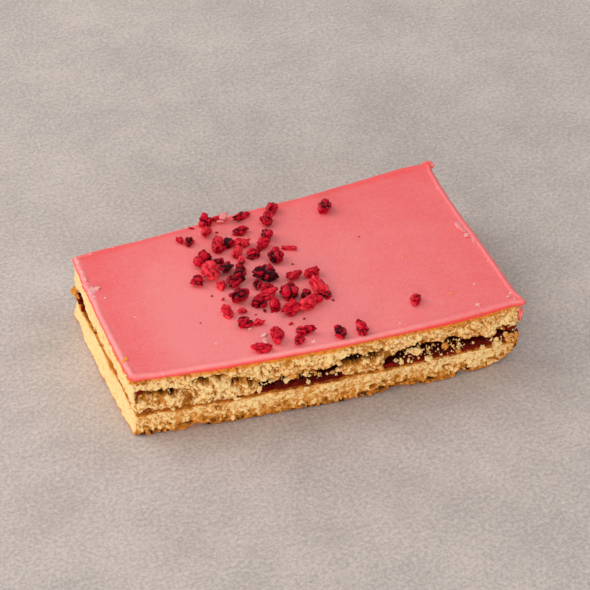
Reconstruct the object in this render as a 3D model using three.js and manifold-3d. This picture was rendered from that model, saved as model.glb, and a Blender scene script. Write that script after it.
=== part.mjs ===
// Raspberry slice: two layers of crumbly pastry with jam between them, pink icing on top,
// and dried raspberry bits scattered over the icing. Millimetres, +Z up, the long front
// edge along X, and the origin under the middle of the slice on the surface it rests on.
import * as THREE from 'three';
import { LoftGeometry } from 'three/addons/geometries/LoftGeometry.js';
import { mergeVertices } from 'three/addons/utils/BufferGeometryUtils.js';
import Module from 'manifold-3d';

// The plan of the slice: a cut strip that widens to the right.
const HALF_LENGTH = 54.6;
const BACK_HALF_LENGTH = HALF_LENGTH - 0.6;
const LEFT_FRONT = -27;
const LEFT_BACK = 27.4;
const RIGHT_FRONT = -32.8;
const RIGHT_BACK = 33.6;

// How far each side bows out in its middle. The front bows more towards the right: from
// FRONT_BOW_START of its bow at the left end, by FRONT_BOW_GROWTH more at the right end.
const FRONT_BOW = 2.7;
const FRONT_BOW_START = 0.7;
const FRONT_BOW_GROWTH = 0.6;
const RIGHT_HOLLOW = -0.9;
const LEFT_BOW = 0.4;
const LEFT_BASE_BOW = 1.5;

// Heights above the surface that the slice rests on.
const BASE_TOP = 7.7;
const JAM_BOTTOM = 8;
const JAM_TOP = 11.6;
const LID_UNDERSIDE = 11.95;
const LID_TOP = 19.3;
const ICING_BOTTOM = 19.6;
const ICING_TOP = 20.95;
const LAYER_GAP = 0.35;

// The right end of the base curls up off the surface.
const CURL_LENGTH = 9;
const CURL_HEIGHT = 5.4;

// The sides in the order they are walked, and the columns of points along each.
const [FRONT, RIGHT, BACK, LEFT] = [0, 1, 2, 3];
const SIDE_COLUMNS = [44, 22, 40, 20];

// Insets of the rings that carry a layer's top and underside in to its flat middle.
const FLAT_INSET = 12;
const SLOPE_INSET = 5.8;
const LIP_INSET = 1.9;
const TOP_EDGE_INSET = 1.2;

// The base's edge is a little rounded underneath, and its side is drawn through these shares
// of its height.
const BASE_UNDER_INSET = 1.1;
const BASE_LOW_INSET = 0.45;
const BASE_SIDE_INSET = 0.1;
const BASE_SHARES = [0.07, 0.3, 0.54, 0.77, 0.95];

// The jam's edge stands back from the sides, and its upper corner is rounded off.
const JAM_RECESS = 1.1;
const JAM_RECESS_WAVES = 0.5;
const JAM_LOW_INSET = 0.2;
const JAM_HIGH_INSET = 0.35;
const JAM_EDGE_INSET = 2.4;
const JAM_EDGE_DROP = 0.3;

// The lid's side, drawn through these shares of its height. The last is left smooth.
const LID_SIDE_INSET = 0.15;
const LID_SHARES = [0.03, 0.18, 0.34, 0.5, 0.66, 0.82, 0.97];

// How rough the torn pastry is, and the size of its larger and smaller lumps. The left side
// was cut clean, so only a share of that roughness is left on it.
const LUMP_DEPTH = 0.6;
const LUMP_SIZE = 3.4;
const CRUMB_DEPTH = 0.4;
const CRUMB_SIZE = 1.9;
const CUT_ROUGHNESS = 0.4;

// Rows of the noise, far enough apart to be unlike each other.
const CRUMB_ROW = 50;
const RAGGED_ROW = 3;
const JAM_ROW = 20;
const RIM_ROW = 11;

// The lid's lowest edge: ragged all round, with longer waves on the right and at the back,
// and rising along the left.
const RAGGED_LIP = 0.7;
const LOWEST_LIP = 8.7;
const RIGHT_LIP = { height: 11.4, waves: 1.2, length: 7, row: 3 };
const BACK_LIP = { height: 11, waves: 1.9, length: 9, row: 7 };
const LEFT_LIP_RISE = 0.9;

// Underside of the lid along the front, as [distance from the left end, height]: where it is
// low, torn pastry hangs down in front of the jam, and where it is high, the jam shows.
const FRONT_LIP = [
  [0, 9.6], [6, 8.7], [31, 8.7], [35, 12.6], [52, 12.9], [56, 9],
  [70, 9], [74, 13], [98, 13.2], [101, 9.8], [105, 9.8], [110, 12],
];

// Dark hollows in the torn front of the lid: the distance from the left end, the height,
// half the width, half the height and the depth of each.
const HOLLOWS = [
  { at: 2, height: 13.6, wide: 2.4, high: 1.6, deep: 1.3 },
  { at: 9, height: 14.6, wide: 3.2, high: 1.1, deep: 2.4 },
  { at: 19, height: 16.8, wide: 3.4, high: 1, deep: 2.2 },
  { at: 24, height: 16.8, wide: 2, high: 0.9, deep: 1.8 },
  { at: 29, height: 15.5, wide: 2.4, high: 1, deep: 2 },
  { at: 62.5, height: 15.9, wide: 6.5, high: 1.5, deep: 3.6 },
];

// The icing's rim: how far it hangs out, and the icing's section as shares of that overhang,
// steps in and heights. A drip at the front-right corner and a folded blob at the back-right
// one hang out farther, and fade along the sides by their sharpness.
const FRONT_OVERHANG = 0.45;
const SIDE_OVERHANG = 0.15;
const RIM_WAVES = 0.12;
const RIM_WAVE_LENGTH = 6;
const DRIP = { out: 1.1, sharpness: 14 };
const BLOB = { out: 0.9, sharpness: 16 };
const ICING_SECTION = [
  { hang: 0, inset: 1, height: ICING_BOTTOM },
  { hang: 0.5, inset: 0.1, height: ICING_BOTTOM },
  { hang: 1, inset: 0, height: ICING_BOTTOM + 0.4 },
  { hang: 0.7, inset: 0, height: ICING_TOP - 0.4 },
  { hang: 0, inset: 0.6, height: ICING_TOP - 0.05 },
  { hang: 0, inset: 1.6, height: ICING_TOP },
];

// Raspberry bits by the group they lie in: middle x and y, length, width, and the turn of
// the length from +X in degrees.
const BACK_BITS = [
  [-25.5, 23.5, 2.8, 2.2, 70], [-23, 22, 3.2, 2.6, 30], [-16, 29, 4, 3.2, 60],
  [-17.5, 24, 3.8, 2.6, 65], [-12, 29.5, 4, 1.8, -10], [-6, 28, 6, 2.6, 25],
  [-8, 21.5, 4.6, 2.8, -10], [0.5, 23.5, 4.6, 3.8, 75], [3.5, 28, 4.4, 3.2, 65],
  [18, 23.5, 4.6, 3.8, 80],
];
const MIDDLE_BITS = [
  [-16, 17, 4.8, 3.6, 75], [-13, 17.5, 3.8, 3, 50], [-22, 12.5, 5.6, 4.6, 60],
  [-9.5, 16, 4.2, 2.6, -15], [-12, 12.5, 3.6, 2.6, 60], [-12, 9, 3, 2.2, 80],
  [-8, 10.5, 4, 3, 0], [-18, 11, 3, 2, -20], [-22, 6, 6, 4.8, 70],
  [-17, 6.5, 3.8, 3.2, 40], [-26.5, 4.5, 4.2, 3.2, 75], [-13.5, 5, 3.6, 2.8, 80],
  [-16, 1, 6.2, 3.4, 20], [-20.5, 0.5, 3.2, 2.4, 90], [-1.5, 17, 4.2, 3.2, 60],
  [-4.5, 13.5, 4.4, 3, 35], [-2.5, 7, 4.8, 3.8, 85], [2.5, 10, 4, 1.6, -25],
  [-7.5, 0.5, 6.4, 4.8, -30],
];
const FRONT_BITS = [
  [-11, -2.5, 3.4, 2.4, 60], [-9, -4.5, 4, 2.4, 10], [-10, -8, 5.6, 3, 0],
  [-13, -10, 4, 3.4, 20], [-17.5, -6, 5.8, 3.8, 35], [-4, -9, 5.8, 4.8, 60],
  [-0.5, -2.5, 3.8, 2.8, 0], [4.5, -3, 4, 3, 10], [4.5, -9.5, 6.4, 3.6, 95],
  [5.5, -13, 3, 2.4, 70], [0, -11.5, 3.2, 2.6, 30], [2.5, -13.5, 3.8, 3, 80],
  [-9.5, -13, 4, 3, 60], [-6, -16, 5.2, 3.8, 30], [-1, -15.5, 5.6, 3.6, 20],
  [-22.5, -11, 4, 2.8, 110], [-18.5, -11.5, 2.8, 2, 0], [-19.5, -17, 4.2, 3, 10],
  [-16, -17.5, 3.2, 2, -10],
];
const EDGE_BITS = [
  [-13, -25.5, 4.6, 3.6, 80], [-18.5, -28, 5.4, 3, -10], [-5, -25.5, 5.2, 3, -40],
  [-8, -28.5, 4, 2.8, 40], [3.5, -29.5, 4.2, 3.4, 85], [9.5, -30, 4.6, 3.4, 100],
  [27.5, -23.5, 4.4, 2.8, 50],
];
const BIT_SEGMENTS = 6;
const BIT_RINGS = 4;
const BIT_HEIGHT_SHARE = 0.95;
const BIT_SINK_SHARE = 0.3;
const BIT_TILT = 0.35;
const BIT_DENT = 0.16;
const BIT_DENT_STEP = 7;

const CORNERS = [
  new THREE.Vector2(-HALF_LENGTH, LEFT_FRONT),
  new THREE.Vector2(HALF_LENGTH, RIGHT_FRONT),
  new THREE.Vector2(BACK_HALF_LENGTH, RIGHT_BACK),
  new THREE.Vector2(-HALF_LENGTH, LEFT_BACK),
];
const INWARD = [
  new THREE.Vector2(1, 1),
  new THREE.Vector2(-1, 1),
  new THREE.Vector2(-1, -1),
  new THREE.Vector2(1, -1),
];

// Repeatable noise from -1 to 1 for a pair of whole numbers: the fraction of a long sine.
function lattice(i, j) {
  const wave = Math.sin(i * 127.1 + j * 311.7) * 43758.5453;
  return 2 * (wave - Math.floor(wave)) - 1;
}

// Smooth noise from -1 to 1 over the unrolled sides: lattice values blended between.
function noise(along, up) {
  const i = Math.floor(along);
  const j = Math.floor(up);
  const a = THREE.MathUtils.smoothstep(along - i, 0, 1);
  const b = THREE.MathUtils.smoothstep(up - j, 0, 1);
  const low = THREE.MathUtils.lerp(lattice(i, j), lattice(i + 1, j), a);
  const high = THREE.MathUtils.lerp(lattice(i, j + 1), lattice(i + 1, j + 1), a);
  return THREE.MathUtils.lerp(low, high, b);
}

// Height of a line of [distance, height] points at a distance along it.
function heightOn(line, distance) {
  const next = line.findIndex((point) => point[0] >= distance);
  if (next <= 0) return line[next === 0 ? 0 : line.length - 1][1];
  const [from, low] = line[next - 1];
  const [to, high] = line[next];
  return THREE.MathUtils.mapLinear(distance, from, to, low, high);
}

// Every column of points round the slice, counter-clockwise from the front-left corner: its
// side, its share of that side, and its distance round the slice.
function roundTheSlice() {
  const columns = [];
  let start = 0;
  SIDE_COLUMNS.forEach((count, side) => {
    const width = CORNERS[side].distanceTo(CORNERS[(side + 1) % CORNERS.length]);
    for (let k = 0; k < count; k += 1) {
      const share = (k + 0.5) / count;
      columns.push({ index: columns.length, side, share, along: start + share * width });
    }
    start += width;
  });
  return columns;
}
const COLUMNS = roundTheSlice();

// How far a side bows out of the straight line between its corners.
function bow(column, leftBow) {
  const { side, share } = column;
  const arch = 4 * share * (1 - share);
  if (side === FRONT) return FRONT_BOW * arch * (FRONT_BOW_START + FRONT_BOW_GROWTH * share);
  if (side === RIGHT) return RIGHT_HOLLOW * arch;
  if (side === LEFT) return leftBow * arch;
  return 0;
}

// A point of the plan: a column's place on its side, moved in by the inset.
function planPoint(column, inset, leftBow, height) {
  const end = (column.side + 1) % CORNERS.length;
  const from = CORNERS[column.side].clone().addScaledVector(INWARD[column.side], inset);
  const to = CORNERS[end].clone().addScaledVector(INWARD[end], inset);
  const outward = new THREE.Vector2(to.y - from.y, from.x - to.x).normalize();
  const point = from.lerp(to, column.share).addScaledVector(outward, bow(column, leftBow));
  return new THREE.Vector3(point.x, point.y, height);
}

// One closed ring of points. inset and height are functions of the column.
function ring(inset, height, leftBow) {
  return COLUMNS.map((column) => planPoint(column, inset(column), leftBow, height(column)));
}

// How far torn pastry stands out of the side at a place round the slice and a height.
function crumble(column, height) {
  const place = column.along / CRUMB_SIZE + CRUMB_ROW;
  const lumps = LUMP_DEPTH * noise(column.along / LUMP_SIZE, height / LUMP_SIZE);
  const crumbs = CRUMB_DEPTH * noise(place, height / CRUMB_SIZE);
  return (column.side === LEFT ? CUT_ROUGHNESS : 1) * (lumps + crumbs);
}

// Depth of the dark hollows at a place on the front: each is an arch, flatter going up.
function hollowDepth(column, height) {
  if (column.side !== FRONT) return 0;
  return HOLLOWS.reduce((sum, hollow) => {
    const across = (column.along - hollow.at) / hollow.wide;
    const up = (height - hollow.height) / hollow.high;
    return sum + hollow.deep * Math.max(0, 1 - across * across - 0.5 * up * up);
  }, 0);
}

// Height of a lip with long waves along it.
function wavyLip({ height, waves, length, row }, along) {
  return height + waves * noise(along / length, row);
}

// The lowest height of the lid's edge at a column.
function lip(column) {
  const ragged = RAGGED_LIP * noise(column.along / CRUMB_SIZE, RAGGED_ROW);
  const torn = [
    heightOn(FRONT_LIP, column.along) + ragged,
    wavyLip(RIGHT_LIP, column.along) + ragged,
    wavyLip(BACK_LIP, column.along) + ragged,
    LOWEST_LIP + LEFT_LIP_RISE * column.share ** 3,
  ];
  return Math.max(LOWEST_LIP, torn[column.side]);
}

// How far the base's underside has curled up at a distance along the slice.
function curl(x) {
  const share = Math.max(0, (x - HALF_LENGTH + CURL_LENGTH) / CURL_LENGTH);
  return CURL_HEIGHT * share * share;
}

// A geometry with only its positions, its shared vertices merged and its collapsed faces dropped.
function sealed(geometry) {
  const positions = new THREE.BufferGeometry();
  positions.setAttribute('position', geometry.attributes.position);
  positions.setIndex(geometry.index);
  const merged = mergeVertices(positions);
  const corners = merged.index.array;
  const kept = [];
  for (let i = 0; i < corners.length; i += 3) {
    const [a, b, c] = [corners[i], corners[i + 1], corners[i + 2]];
    if (a !== b && b !== c && c !== a) kept.push(a, b, c);
  }
  merged.setIndex(kept);
  return merged;
}

// A closed solid through rings that run from the middle of its underside, out and up its
// side, and in to the middle of its top. The first and last ring are drawn in to a point.
function layer(rings) {
  const middle = (near) => near.map(() => new THREE.Vector3(0, 0, near[0].z));
  const sections = [middle(rings[0]), ...rings, middle(rings[rings.length - 1])];
  return sealed(new LoftGeometry(sections));
}

function bottomPastry() {
  const underside = (inset) => {
    const flat = ring(() => inset, () => 0, LEFT_BASE_BOW);
    flat.forEach((point) => {
      point.z = curl(point.x);
    });
    return flat;
  };
  const rings = [underside(FLAT_INSET), underside(SLOPE_INSET), underside(BASE_UNDER_INSET)];
  BASE_SHARES.forEach((share, row) => {
    const inset = row === 0 ? BASE_LOW_INSET : BASE_SIDE_INSET;
    rings.push(underside(0).map((point, i) => {
      const height = THREE.MathUtils.lerp(point.z, BASE_TOP, share);
      return planPoint(COLUMNS[i], inset - crumble(COLUMNS[i], height), LEFT_BASE_BOW, height);
    }));
  });
  rings.push(ring(() => TOP_EDGE_INSET, () => BASE_TOP, LEFT_BASE_BOW));
  rings.push(ring(() => SLOPE_INSET, () => BASE_TOP, LEFT_BASE_BOW));
  return layer(rings);
}

// The jam's edge stays under the lid's edge, here and at the columns on either side.
function jam() {
  const edgeTop = ({ index }) => {
    const near = [COLUMNS.length - 1, 0, 1].map((step) => COLUMNS[(index + step) % COLUMNS.length]);
    return Math.min(JAM_TOP - JAM_EDGE_DROP, ...near.map((column) => lip(column) - LAYER_GAP));
  };
  const recess = (column) => (
    JAM_RECESS + JAM_RECESS_WAVES * noise(column.along / LUMP_SIZE, JAM_ROW)
  );
  return layer([
    ring(() => SLOPE_INSET, () => JAM_BOTTOM, LEFT_BOW),
    ring((column) => recess(column) + JAM_LOW_INSET, () => JAM_BOTTOM, LEFT_BOW),
    ring(recess, (column) => (JAM_BOTTOM + edgeTop(column)) / 2, LEFT_BOW),
    ring((column) => recess(column) + JAM_HIGH_INSET, edgeTop, LEFT_BOW),
    ring(() => JAM_EDGE_INSET, edgeTop, LEFT_BOW),
    ring(() => SLOPE_INSET, () => JAM_TOP, LEFT_BOW),
  ]);
}

function topPastry() {
  const rings = [
    ring(() => SLOPE_INSET, () => LID_UNDERSIDE, LEFT_BOW),
    ring(() => LIP_INSET, lip, LEFT_BOW),
  ];
  LID_SHARES.forEach((share, row) => {
    const isSmooth = row === LID_SHARES.length - 1;
    const height = (column) => THREE.MathUtils.lerp(lip(column), LID_TOP, share);
    const inset = (column) => {
      const relief = isSmooth ? 0 : crumble(column, height(column));
      return LID_SIDE_INSET - relief + hollowDepth(column, height(column));
    };
    rings.push(ring(inset, height, LEFT_BOW));
  });
  rings.push(ring(() => TOP_EDGE_INSET, () => LID_TOP, LEFT_BOW));
  rings.push(ring(() => SLOPE_INSET, () => LID_TOP, LEFT_BOW));
  return layer(rings);
}

// How much farther the rim hangs out at a share of a side away from a drip or blob.
function bulge({ out, sharpness }, share) {
  return out * Math.exp(-((share * sharpness) ** 2));
}

// How far the icing's rim hangs out past the pastry.
function rimOverhang({ side, share, along }) {
  const uneven = RIM_WAVES * noise(along / RIM_WAVE_LENGTH, RIM_ROW);
  const base = side === FRONT ? FRONT_OVERHANG : SIDE_OVERHANG;
  const fromDrip = { [FRONT]: 1 - share, [RIGHT]: share }[side] ?? 1;
  const fromBlob = { [RIGHT]: 1 - share, [BACK]: share }[side] ?? 1;
  return base + uneven + bulge(DRIP, fromDrip) + bulge(BLOB, fromBlob);
}

function icingSheet() {
  return layer(ICING_SECTION.map(({ hang, inset, height }) => (
    ring((column) => inset - hang * rimOverhang(column), () => height, LEFT_BOW)
  )));
}

// A faceted lump of dried raspberry, dented by noise and sunk a little into the icing.
function raspberryBit([x, y, length, width, turn], index) {
  const bit = new THREE.SphereGeometry(0.5, BIT_SEGMENTS, BIT_RINGS);
  const position = bit.attributes.position;
  const point = new THREE.Vector3();
  for (let i = 0; i < position.count; i += 1) {
    point.fromBufferAttribute(position, i);
    const [a, b, c] = point.toArray().map((value) => Math.round(BIT_DENT_STEP * value));
    const dent = 1 + BIT_DENT * lattice(index + 5 * (a + 3 * b), c);
    point.multiplyScalar(dent);
    position.setXYZ(i, point.x, point.y, point.z);
  }
  const height = BIT_HEIGHT_SHARE * width;
  bit.scale(length, width, height);
  bit.rotateX(BIT_TILT * lattice(index, 1));
  bit.rotateY(BIT_TILT * lattice(index, 2));
  bit.rotateZ(THREE.MathUtils.degToRad(turn));
  bit.translate(x, y, ICING_TOP + height * (0.5 - BIT_SINK_SHARE));
  return sealed(bit);
}

// A sealed geometry as a solid that can be joined to others.
function toSolid(wasm, geometry) {
  return new wasm.Manifold(new wasm.Mesh({
    numProp: 3,
    vertProperties: geometry.attributes.position.array,
    triVerts: new Uint32Array(geometry.index.array),
  }));
}

function toGeometry(solid) {
  const { vertProperties, triVerts } = solid.getMesh();
  const geometry = new THREE.BufferGeometry();
  geometry.setAttribute('position', new THREE.BufferAttribute(vertProperties, 3));
  geometry.setIndex(new THREE.BufferAttribute(triVerts, 1));
  geometry.computeVertexNormals();
  return geometry;
}

// The sheet of icing with every raspberry bit joined to it.
async function icing() {
  const wasm = await Module();
  wasm.setup();
  const bits = [...BACK_BITS, ...MIDDLE_BITS, ...FRONT_BITS, ...EDGE_BITS].map(raspberryBit);
  const joined = bits.reduce(
    (solid, bit) => solid.add(toSolid(wasm, bit)),
    toSolid(wasm, icingSheet()),
  );
  return toGeometry(joined);
}

const PASTRY = { color: 0xe0b878, roughness: 0.9, metalness: 0 };
const JAM = { color: 0x5a0008, roughness: 0.25, metalness: 0 };
const ICING = { color: 0xf2767c, roughness: 0.4, metalness: 0 };

function piece(name, geometry, finish) {
  const mesh = new THREE.Mesh(geometry, new THREE.MeshStandardMaterial(finish));
  mesh.name = name;
  return mesh;
}

const slice = new THREE.Group();
slice.add(piece('bottom_pastry', bottomPastry(), PASTRY));
slice.add(piece('jam', jam(), JAM));
slice.add(piece('top_pastry', topPastry(), PASTRY));
slice.add(piece('icing', await icing(), ICING));

export default slice;
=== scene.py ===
"""Raspberry slice: crumbly pastry layers, jam, pink icing and dried raspberry bits.

Shape functions work in millimetres, in the frame's axes, and make_piece() turns their points
to metres. The slice lies with its long front edge along +X and its icing up.
"""

import math

import bpy
import numpy as np
from bpy.props import FloatProperty, FloatVectorProperty, PointerProperty
from mathutils import Matrix, Vector


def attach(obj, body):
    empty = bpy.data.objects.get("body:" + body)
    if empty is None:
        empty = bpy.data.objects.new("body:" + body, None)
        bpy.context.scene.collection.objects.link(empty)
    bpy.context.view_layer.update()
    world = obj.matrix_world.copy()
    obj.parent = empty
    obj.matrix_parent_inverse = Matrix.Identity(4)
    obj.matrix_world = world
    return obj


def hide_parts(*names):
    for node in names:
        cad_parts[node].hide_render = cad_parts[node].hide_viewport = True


bl_info = {
    "name": "Raspberry Slice",
    "version": (1, 0, 0),
    "blender": (4, 5, 0),
    "location": "View3D > Sidebar > Slice",
    "description": "Builds a bakery slice with jam, icing and dried raspberry bits",
    "category": "Add Mesh",
}

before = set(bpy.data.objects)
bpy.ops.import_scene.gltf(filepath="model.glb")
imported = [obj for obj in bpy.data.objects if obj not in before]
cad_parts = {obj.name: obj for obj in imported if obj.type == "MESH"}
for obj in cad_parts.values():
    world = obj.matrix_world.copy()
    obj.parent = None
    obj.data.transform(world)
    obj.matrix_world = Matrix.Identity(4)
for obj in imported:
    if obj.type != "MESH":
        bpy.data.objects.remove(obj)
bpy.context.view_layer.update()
MM = 0.001

# Plan corners of the icing, counter-clockwise from the front left, and the way in from each.
CORNERS = np.array([[-54.6, -27.0], [55.3, -32.84], [54.0, 33.6], [-54.6, 27.4]])
INWARD = np.array([[1.0, 1.0], [-1.0, 1.0], [-1.0, -1.0], [1.0, -1.0]])
FRONT, RIGHT, BACK, LEFT = range(4)
# How far the front bows out, which share of that it has at its left end and gains up to its
# right end, how far the right side bows out, and how far and how deep corners are rounded.
FRONT_BOW = 2.7
FRONT_BOW_START = 0.7
FRONT_BOW_GROWTH = 0.6
RIGHT_HOLLOW = -0.9
CORNER_ROUND = 1.3
CORNER_CUT = 0.42
# How far the back left corner stands out to the left, and how far the left side bows out.
ICING_LEFT = {"left_back": 0.0, "left_bow": 0.4}
LID_LEFT = {"left_back": 1.3, "left_bow": -0.1}
BASE_LEFT = {"left_back": 2.0, "left_bow": 0.6}

# Heights: the lid's underside over the jam, its lip on the right and at the back and the
# lowest that it hangs, the jam's upper edge, the base's top on the right and at the back, and
# the icing's lowest edge on these sides and the left.
LID_UNDERSIDE = 11.9
LIP_RIGHT = 11.4
LIP_BACK = 11.0
LOWEST_LIP = 7.6
JAM_EDGE = 10.2
BASE_TOP_RIGHT = 7.7
BASE_TOP_BACK = 7.4
ICING_EDGE_RIGHT = 19.3
ICING_EDGE_BACK = 19.4
ICING_EDGE_LEFT = 19.0
# How far in from its edge the icing's rim bends over into the flat top.
RIM_SOFTNESS = 1.5

# Columns of points along each side of a layer, in the order front, right, back, left, and
# rows of points up it.
PASTRY_COLUMNS = [560, 210, 340, 220]
BASE_ROWS = 36
LID_ROWS = 54
JAM_COLUMNS = [420, 180, 300, 160]
JAM_ROWS = 16
ICING_COLUMNS = [260, 150, 260, 150]
RIM_ROWS = 24
CRUMB_COLUMNS = [1100, 620, 1000, 240]

# Lines along the front, as distance from the left end and height: the lid's lowest edge, the
# base's top edge, the icing's lowest edge, and the crack between the lid's whole crust and
# the torn crumb under it.
FRONT_LIP = np.array([
    [0, 8.6], [1.5, 7.85], [33, 7.85], [34.5, 12.0], [43, 12.6], [47, 13.1], [48.5, 12.2],
    [52, 12.4], [56, 13.2], [57.5, 10.4], [60, 8.8], [62, 8.3], [66, 8.5], [69, 8.9],
    [71, 11.5], [74, 13.4], [79, 14.6], [82, 14.2], [85.5, 13.0], [88, 14.2], [90.5, 14.1],
    [93, 12.2], [98, 11.3], [101.5, 10.8], [103, 12], [106, 11.4], [110, 12.5],
])
BASE_EDGE = np.array([
    [0, 7.1], [6, 7.3], [33, 7.4], [38, 7.9], [70, 7.8], [80, 7.7], [95, 7.4], [103, 6.7],
    [110, 5.9],
])
ICING_EDGE = np.array([
    [0, 19.6], [10, 19.4], [15, 19.2], [22, 18.8], [30, 18.9], [38, 19.1], [46, 19.4],
    [55, 19.2], [65, 19.6], [72, 19.3], [80, 19.2], [85, 18.8], [98, 18.8], [104, 19.2],
    [110, 19.5],
])
TORN_CRACK = np.array([
    [0, 15.9], [2, 16.0], [5, 14.9], [9, 15.0], [12, 14.6], [15, 14.7], [17, 16.4],
    [21, 17.2], [24, 17.0], [27, 15.6], [31, 14.8], [33, 13.4], [35, 12.2],
])
# The same for the left side, as distance from its back end: the lid's and the base's edges.
LEFT_LIP = np.array([
    [0, 10.4], [3, 10.8], [4.6, 12.2], [8, 11.6], [9.6, 9.5], [14, 9.1], [20, 9.5],
    [25, 9.1], [31, 9.6], [38, 9.7], [45, 9.5], [50, 9.6], [55, 8.8],
])
LEFT_BASE_EDGE = np.array([[0, 5.8], [8, 6.2], [14, 7.1], [20, 7.4], [55, 7.4]])
# How far the icing hangs out, by the distance along each side from where that side starts.
FRONT_RIM = np.array([[0, 0.3], [30, 0.35], [70, 0.4], [110, 0.4]])
RIGHT_RIM = np.array([
    [0, 0.4], [5, 0.35], [13, 0.75], [24, 0.95], [36, 0.65], [48, 0.35], [60, 0.2], [66, 0.4],
])
BACK_RIM = np.array([
    [0, 0.6], [10, 1.5], [16, 1.2], [26, 0.75], [39, 0.25], [54, 0.7], [73, 0.7], [85, 0.5],
    [91, 0.3], [103, 0.9], [109, 0.8],
])
LEFT_RIM = np.array([[0, 1.2], [12, 1.4], [25, 1.15], [38, 0.85], [50, 0.5], [55, 0.35]])

# Hollows of the lid's front, dented in and darkened with painted shade: distance from the left
# end, height, half the width, half the height, and depth.
HOLLOWS = np.array([
    [2.0, 14.4, 2.4, 1.5, 1.6], [5.8, 14.7, 1.6, 0.6, 1.8], [8.0, 14.6, 1.5, 0.8, 2.4],
    [10.4, 14.5, 1.1, 1.4, 3.6], [14.7, 11.0, 1.5, 2.8, 1.1], [15.4, 9.8, 0.6, 1.4, 1.6],
    [7.2, 12.0, 1.2, 1.1, 0.8], [3.5, 9.0, 1.8, 0.7, 0.9],
    [12.6, 14.0, 0.8, 0.5, 1.2], [27.0, 13.2, 0.7, 1.0, 1.0], [29.4, 11.0, 0.6, 1.6, 0.8],
    [22.6, 12.2, 0.6, 1.4, 0.7], [16.8, 12.6, 0.6, 1.6, 0.8], [18.6, 16.8, 2.2, 0.9, 2.8],
    [23.6, 17.0, 1.1, 0.7, 2.6], [28.6, 14.8, 1.8, 1.1, 2.4], [32.2, 13.8, 0.8, 1.1, 2.0],
    [24.6, 10.7, 0.6, 0.6, 1.2], [38.8, 16.0, 1.0, 1.4, 0.8], [50.0, 12.6, 3.0, 1.0, 1.2],
    [60.6, 14.9, 3.4, 1.5, 4.2], [66.6, 14.8, 3.0, 1.3, 3.2], [70.6, 13.2, 1.2, 2.0, 1.0],
    [95.0, 14.8, 2.2, 0.7, 0.7], [104.6, 13.0, 2.4, 0.9, 1.2], [80.0, 15.4, 1.6, 0.7, 1.0],
])
# What each column of these hollows is multiplied by: they are made wider and higher.
HOLLOW_GROWTH = np.array([1.0, 1.0, 1.05, 1.15, 1.0])
# Parts of these hollows painted near-black as shade, in the same terms. Their heights are
# those at which they are seen from 40 degrees above: a dent looks higher by SEEN_LIFT times
# its depth.
HOLE_SHADES = np.array([
    [10.3, 14.5, 1.4, 1.2, 1.0], [7.2, 14.5, 1.4, 0.6, 0.8], [5.0, 14.7, 1.2, 0.4, 0.6],
    [18.0, 16.7, 1.7, 0.5, 1.0], [19.8, 17.2, 1.0, 0.6, 1.0], [21.5, 17.3, 0.6, 0.3, 0.8],
    [23.6, 17.1, 1.0, 0.5, 1.0], [27.5, 14.2, 0.7, 0.7, 0.9], [28.9, 15.0, 1.0, 0.6, 1.0],
    [32.0, 14.2, 0.5, 0.8, 0.9], [59.5, 15.6, 2.2, 0.8, 1.0], [62.8, 15.2, 2.2, 0.9, 1.0],
    [66.5, 14.6, 1.7, 0.8, 0.9], [60.5, 14.1, 0.7, 0.5, 0.8], [64.0, 13.3, 1.0, 0.5, 0.8],
    [69.8, 15.4, 0.6, 0.4, 0.7],
])
SEEN_LIFT = 0.84
# Bulging lumps of the lid's front, in the same terms.
LUMPS = np.array([
    [3.6, 12.0, 3.2, 1.9, 0.9], [1.4, 9.9, 1.9, 1.7, 0.6], [9.8, 12.0, 3.2, 2.2, 0.8],
    [10.6, 9.6, 3.0, 1.5, 0.6], [20.4, 14.2, 4.4, 2.5, 1.3], [19.6, 10.2, 3.6, 2.3, 0.8],
    [24.4, 13.4, 2.2, 2.4, 0.6], [27.0, 10.4, 1.9, 2.2, 0.9], [30.8, 11.6, 2.5, 2.5, 0.8],
    [35.4, 14.2, 2.2, 1.7, 0.7], [43.4, 15.2, 3.0, 2.0, 0.6], [48.4, 15.6, 2.4, 2.4, 0.6],
    [54.0, 15.2, 2.0, 1.9, 0.6], [60.2, 11.8, 3.0, 2.4, 0.8], [64.0, 10.6, 3.0, 2.4, 0.9],
    [67.2, 11.4, 2.0, 2.4, 0.7], [84.0, 15.6, 3.4, 1.6, 0.6], [94.0, 15.2, 2.6, 1.3, 0.7],
    [101.4, 14.6, 2.4, 1.6, 0.7], [106.2, 14.4, 2.2, 1.6, 0.7],
])
# Hollows of the base's front, dented in and darkened with painted shade.
BASE_HOLLOWS = np.array([
    [23.2, 5.6, 1.1, 1.3, 0.8], [14.2, 2.2, 1.8, 0.6, 1.5], [21.5, 1.4, 1.1, 0.5, 1.2],
    [9.0, 2.9, 0.8, 0.4, 0.9], [2.6, 3.0, 0.8, 0.5, 0.6], [25.4, 4.2, 0.5, 0.4, 0.8],
    [66.4, 3.3, 1.0, 0.6, 1.4], [68.0, 2.0, 1.6, 0.5, 1.6], [69.8, 3.9, 1.2, 0.6, 1.1],
    [74.2, 2.0, 1.3, 0.6, 1.6], [83.0, 1.2, 1.8, 0.5, 1.6], [88.0, 4.2, 1.5, 0.4, 0.9],
    [92.4, 1.4, 2.6, 0.6, 1.6], [56.4, 4.2, 0.9, 0.8, 0.7], [41.8, 3.4, 0.8, 0.5, 0.7],
    [47.0, 1.6, 1.0, 0.4, 0.9], [53.0, 1.4, 1.0, 0.4, 0.9], [101.0, 2.4, 0.9, 0.4, 0.6],
])
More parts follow.
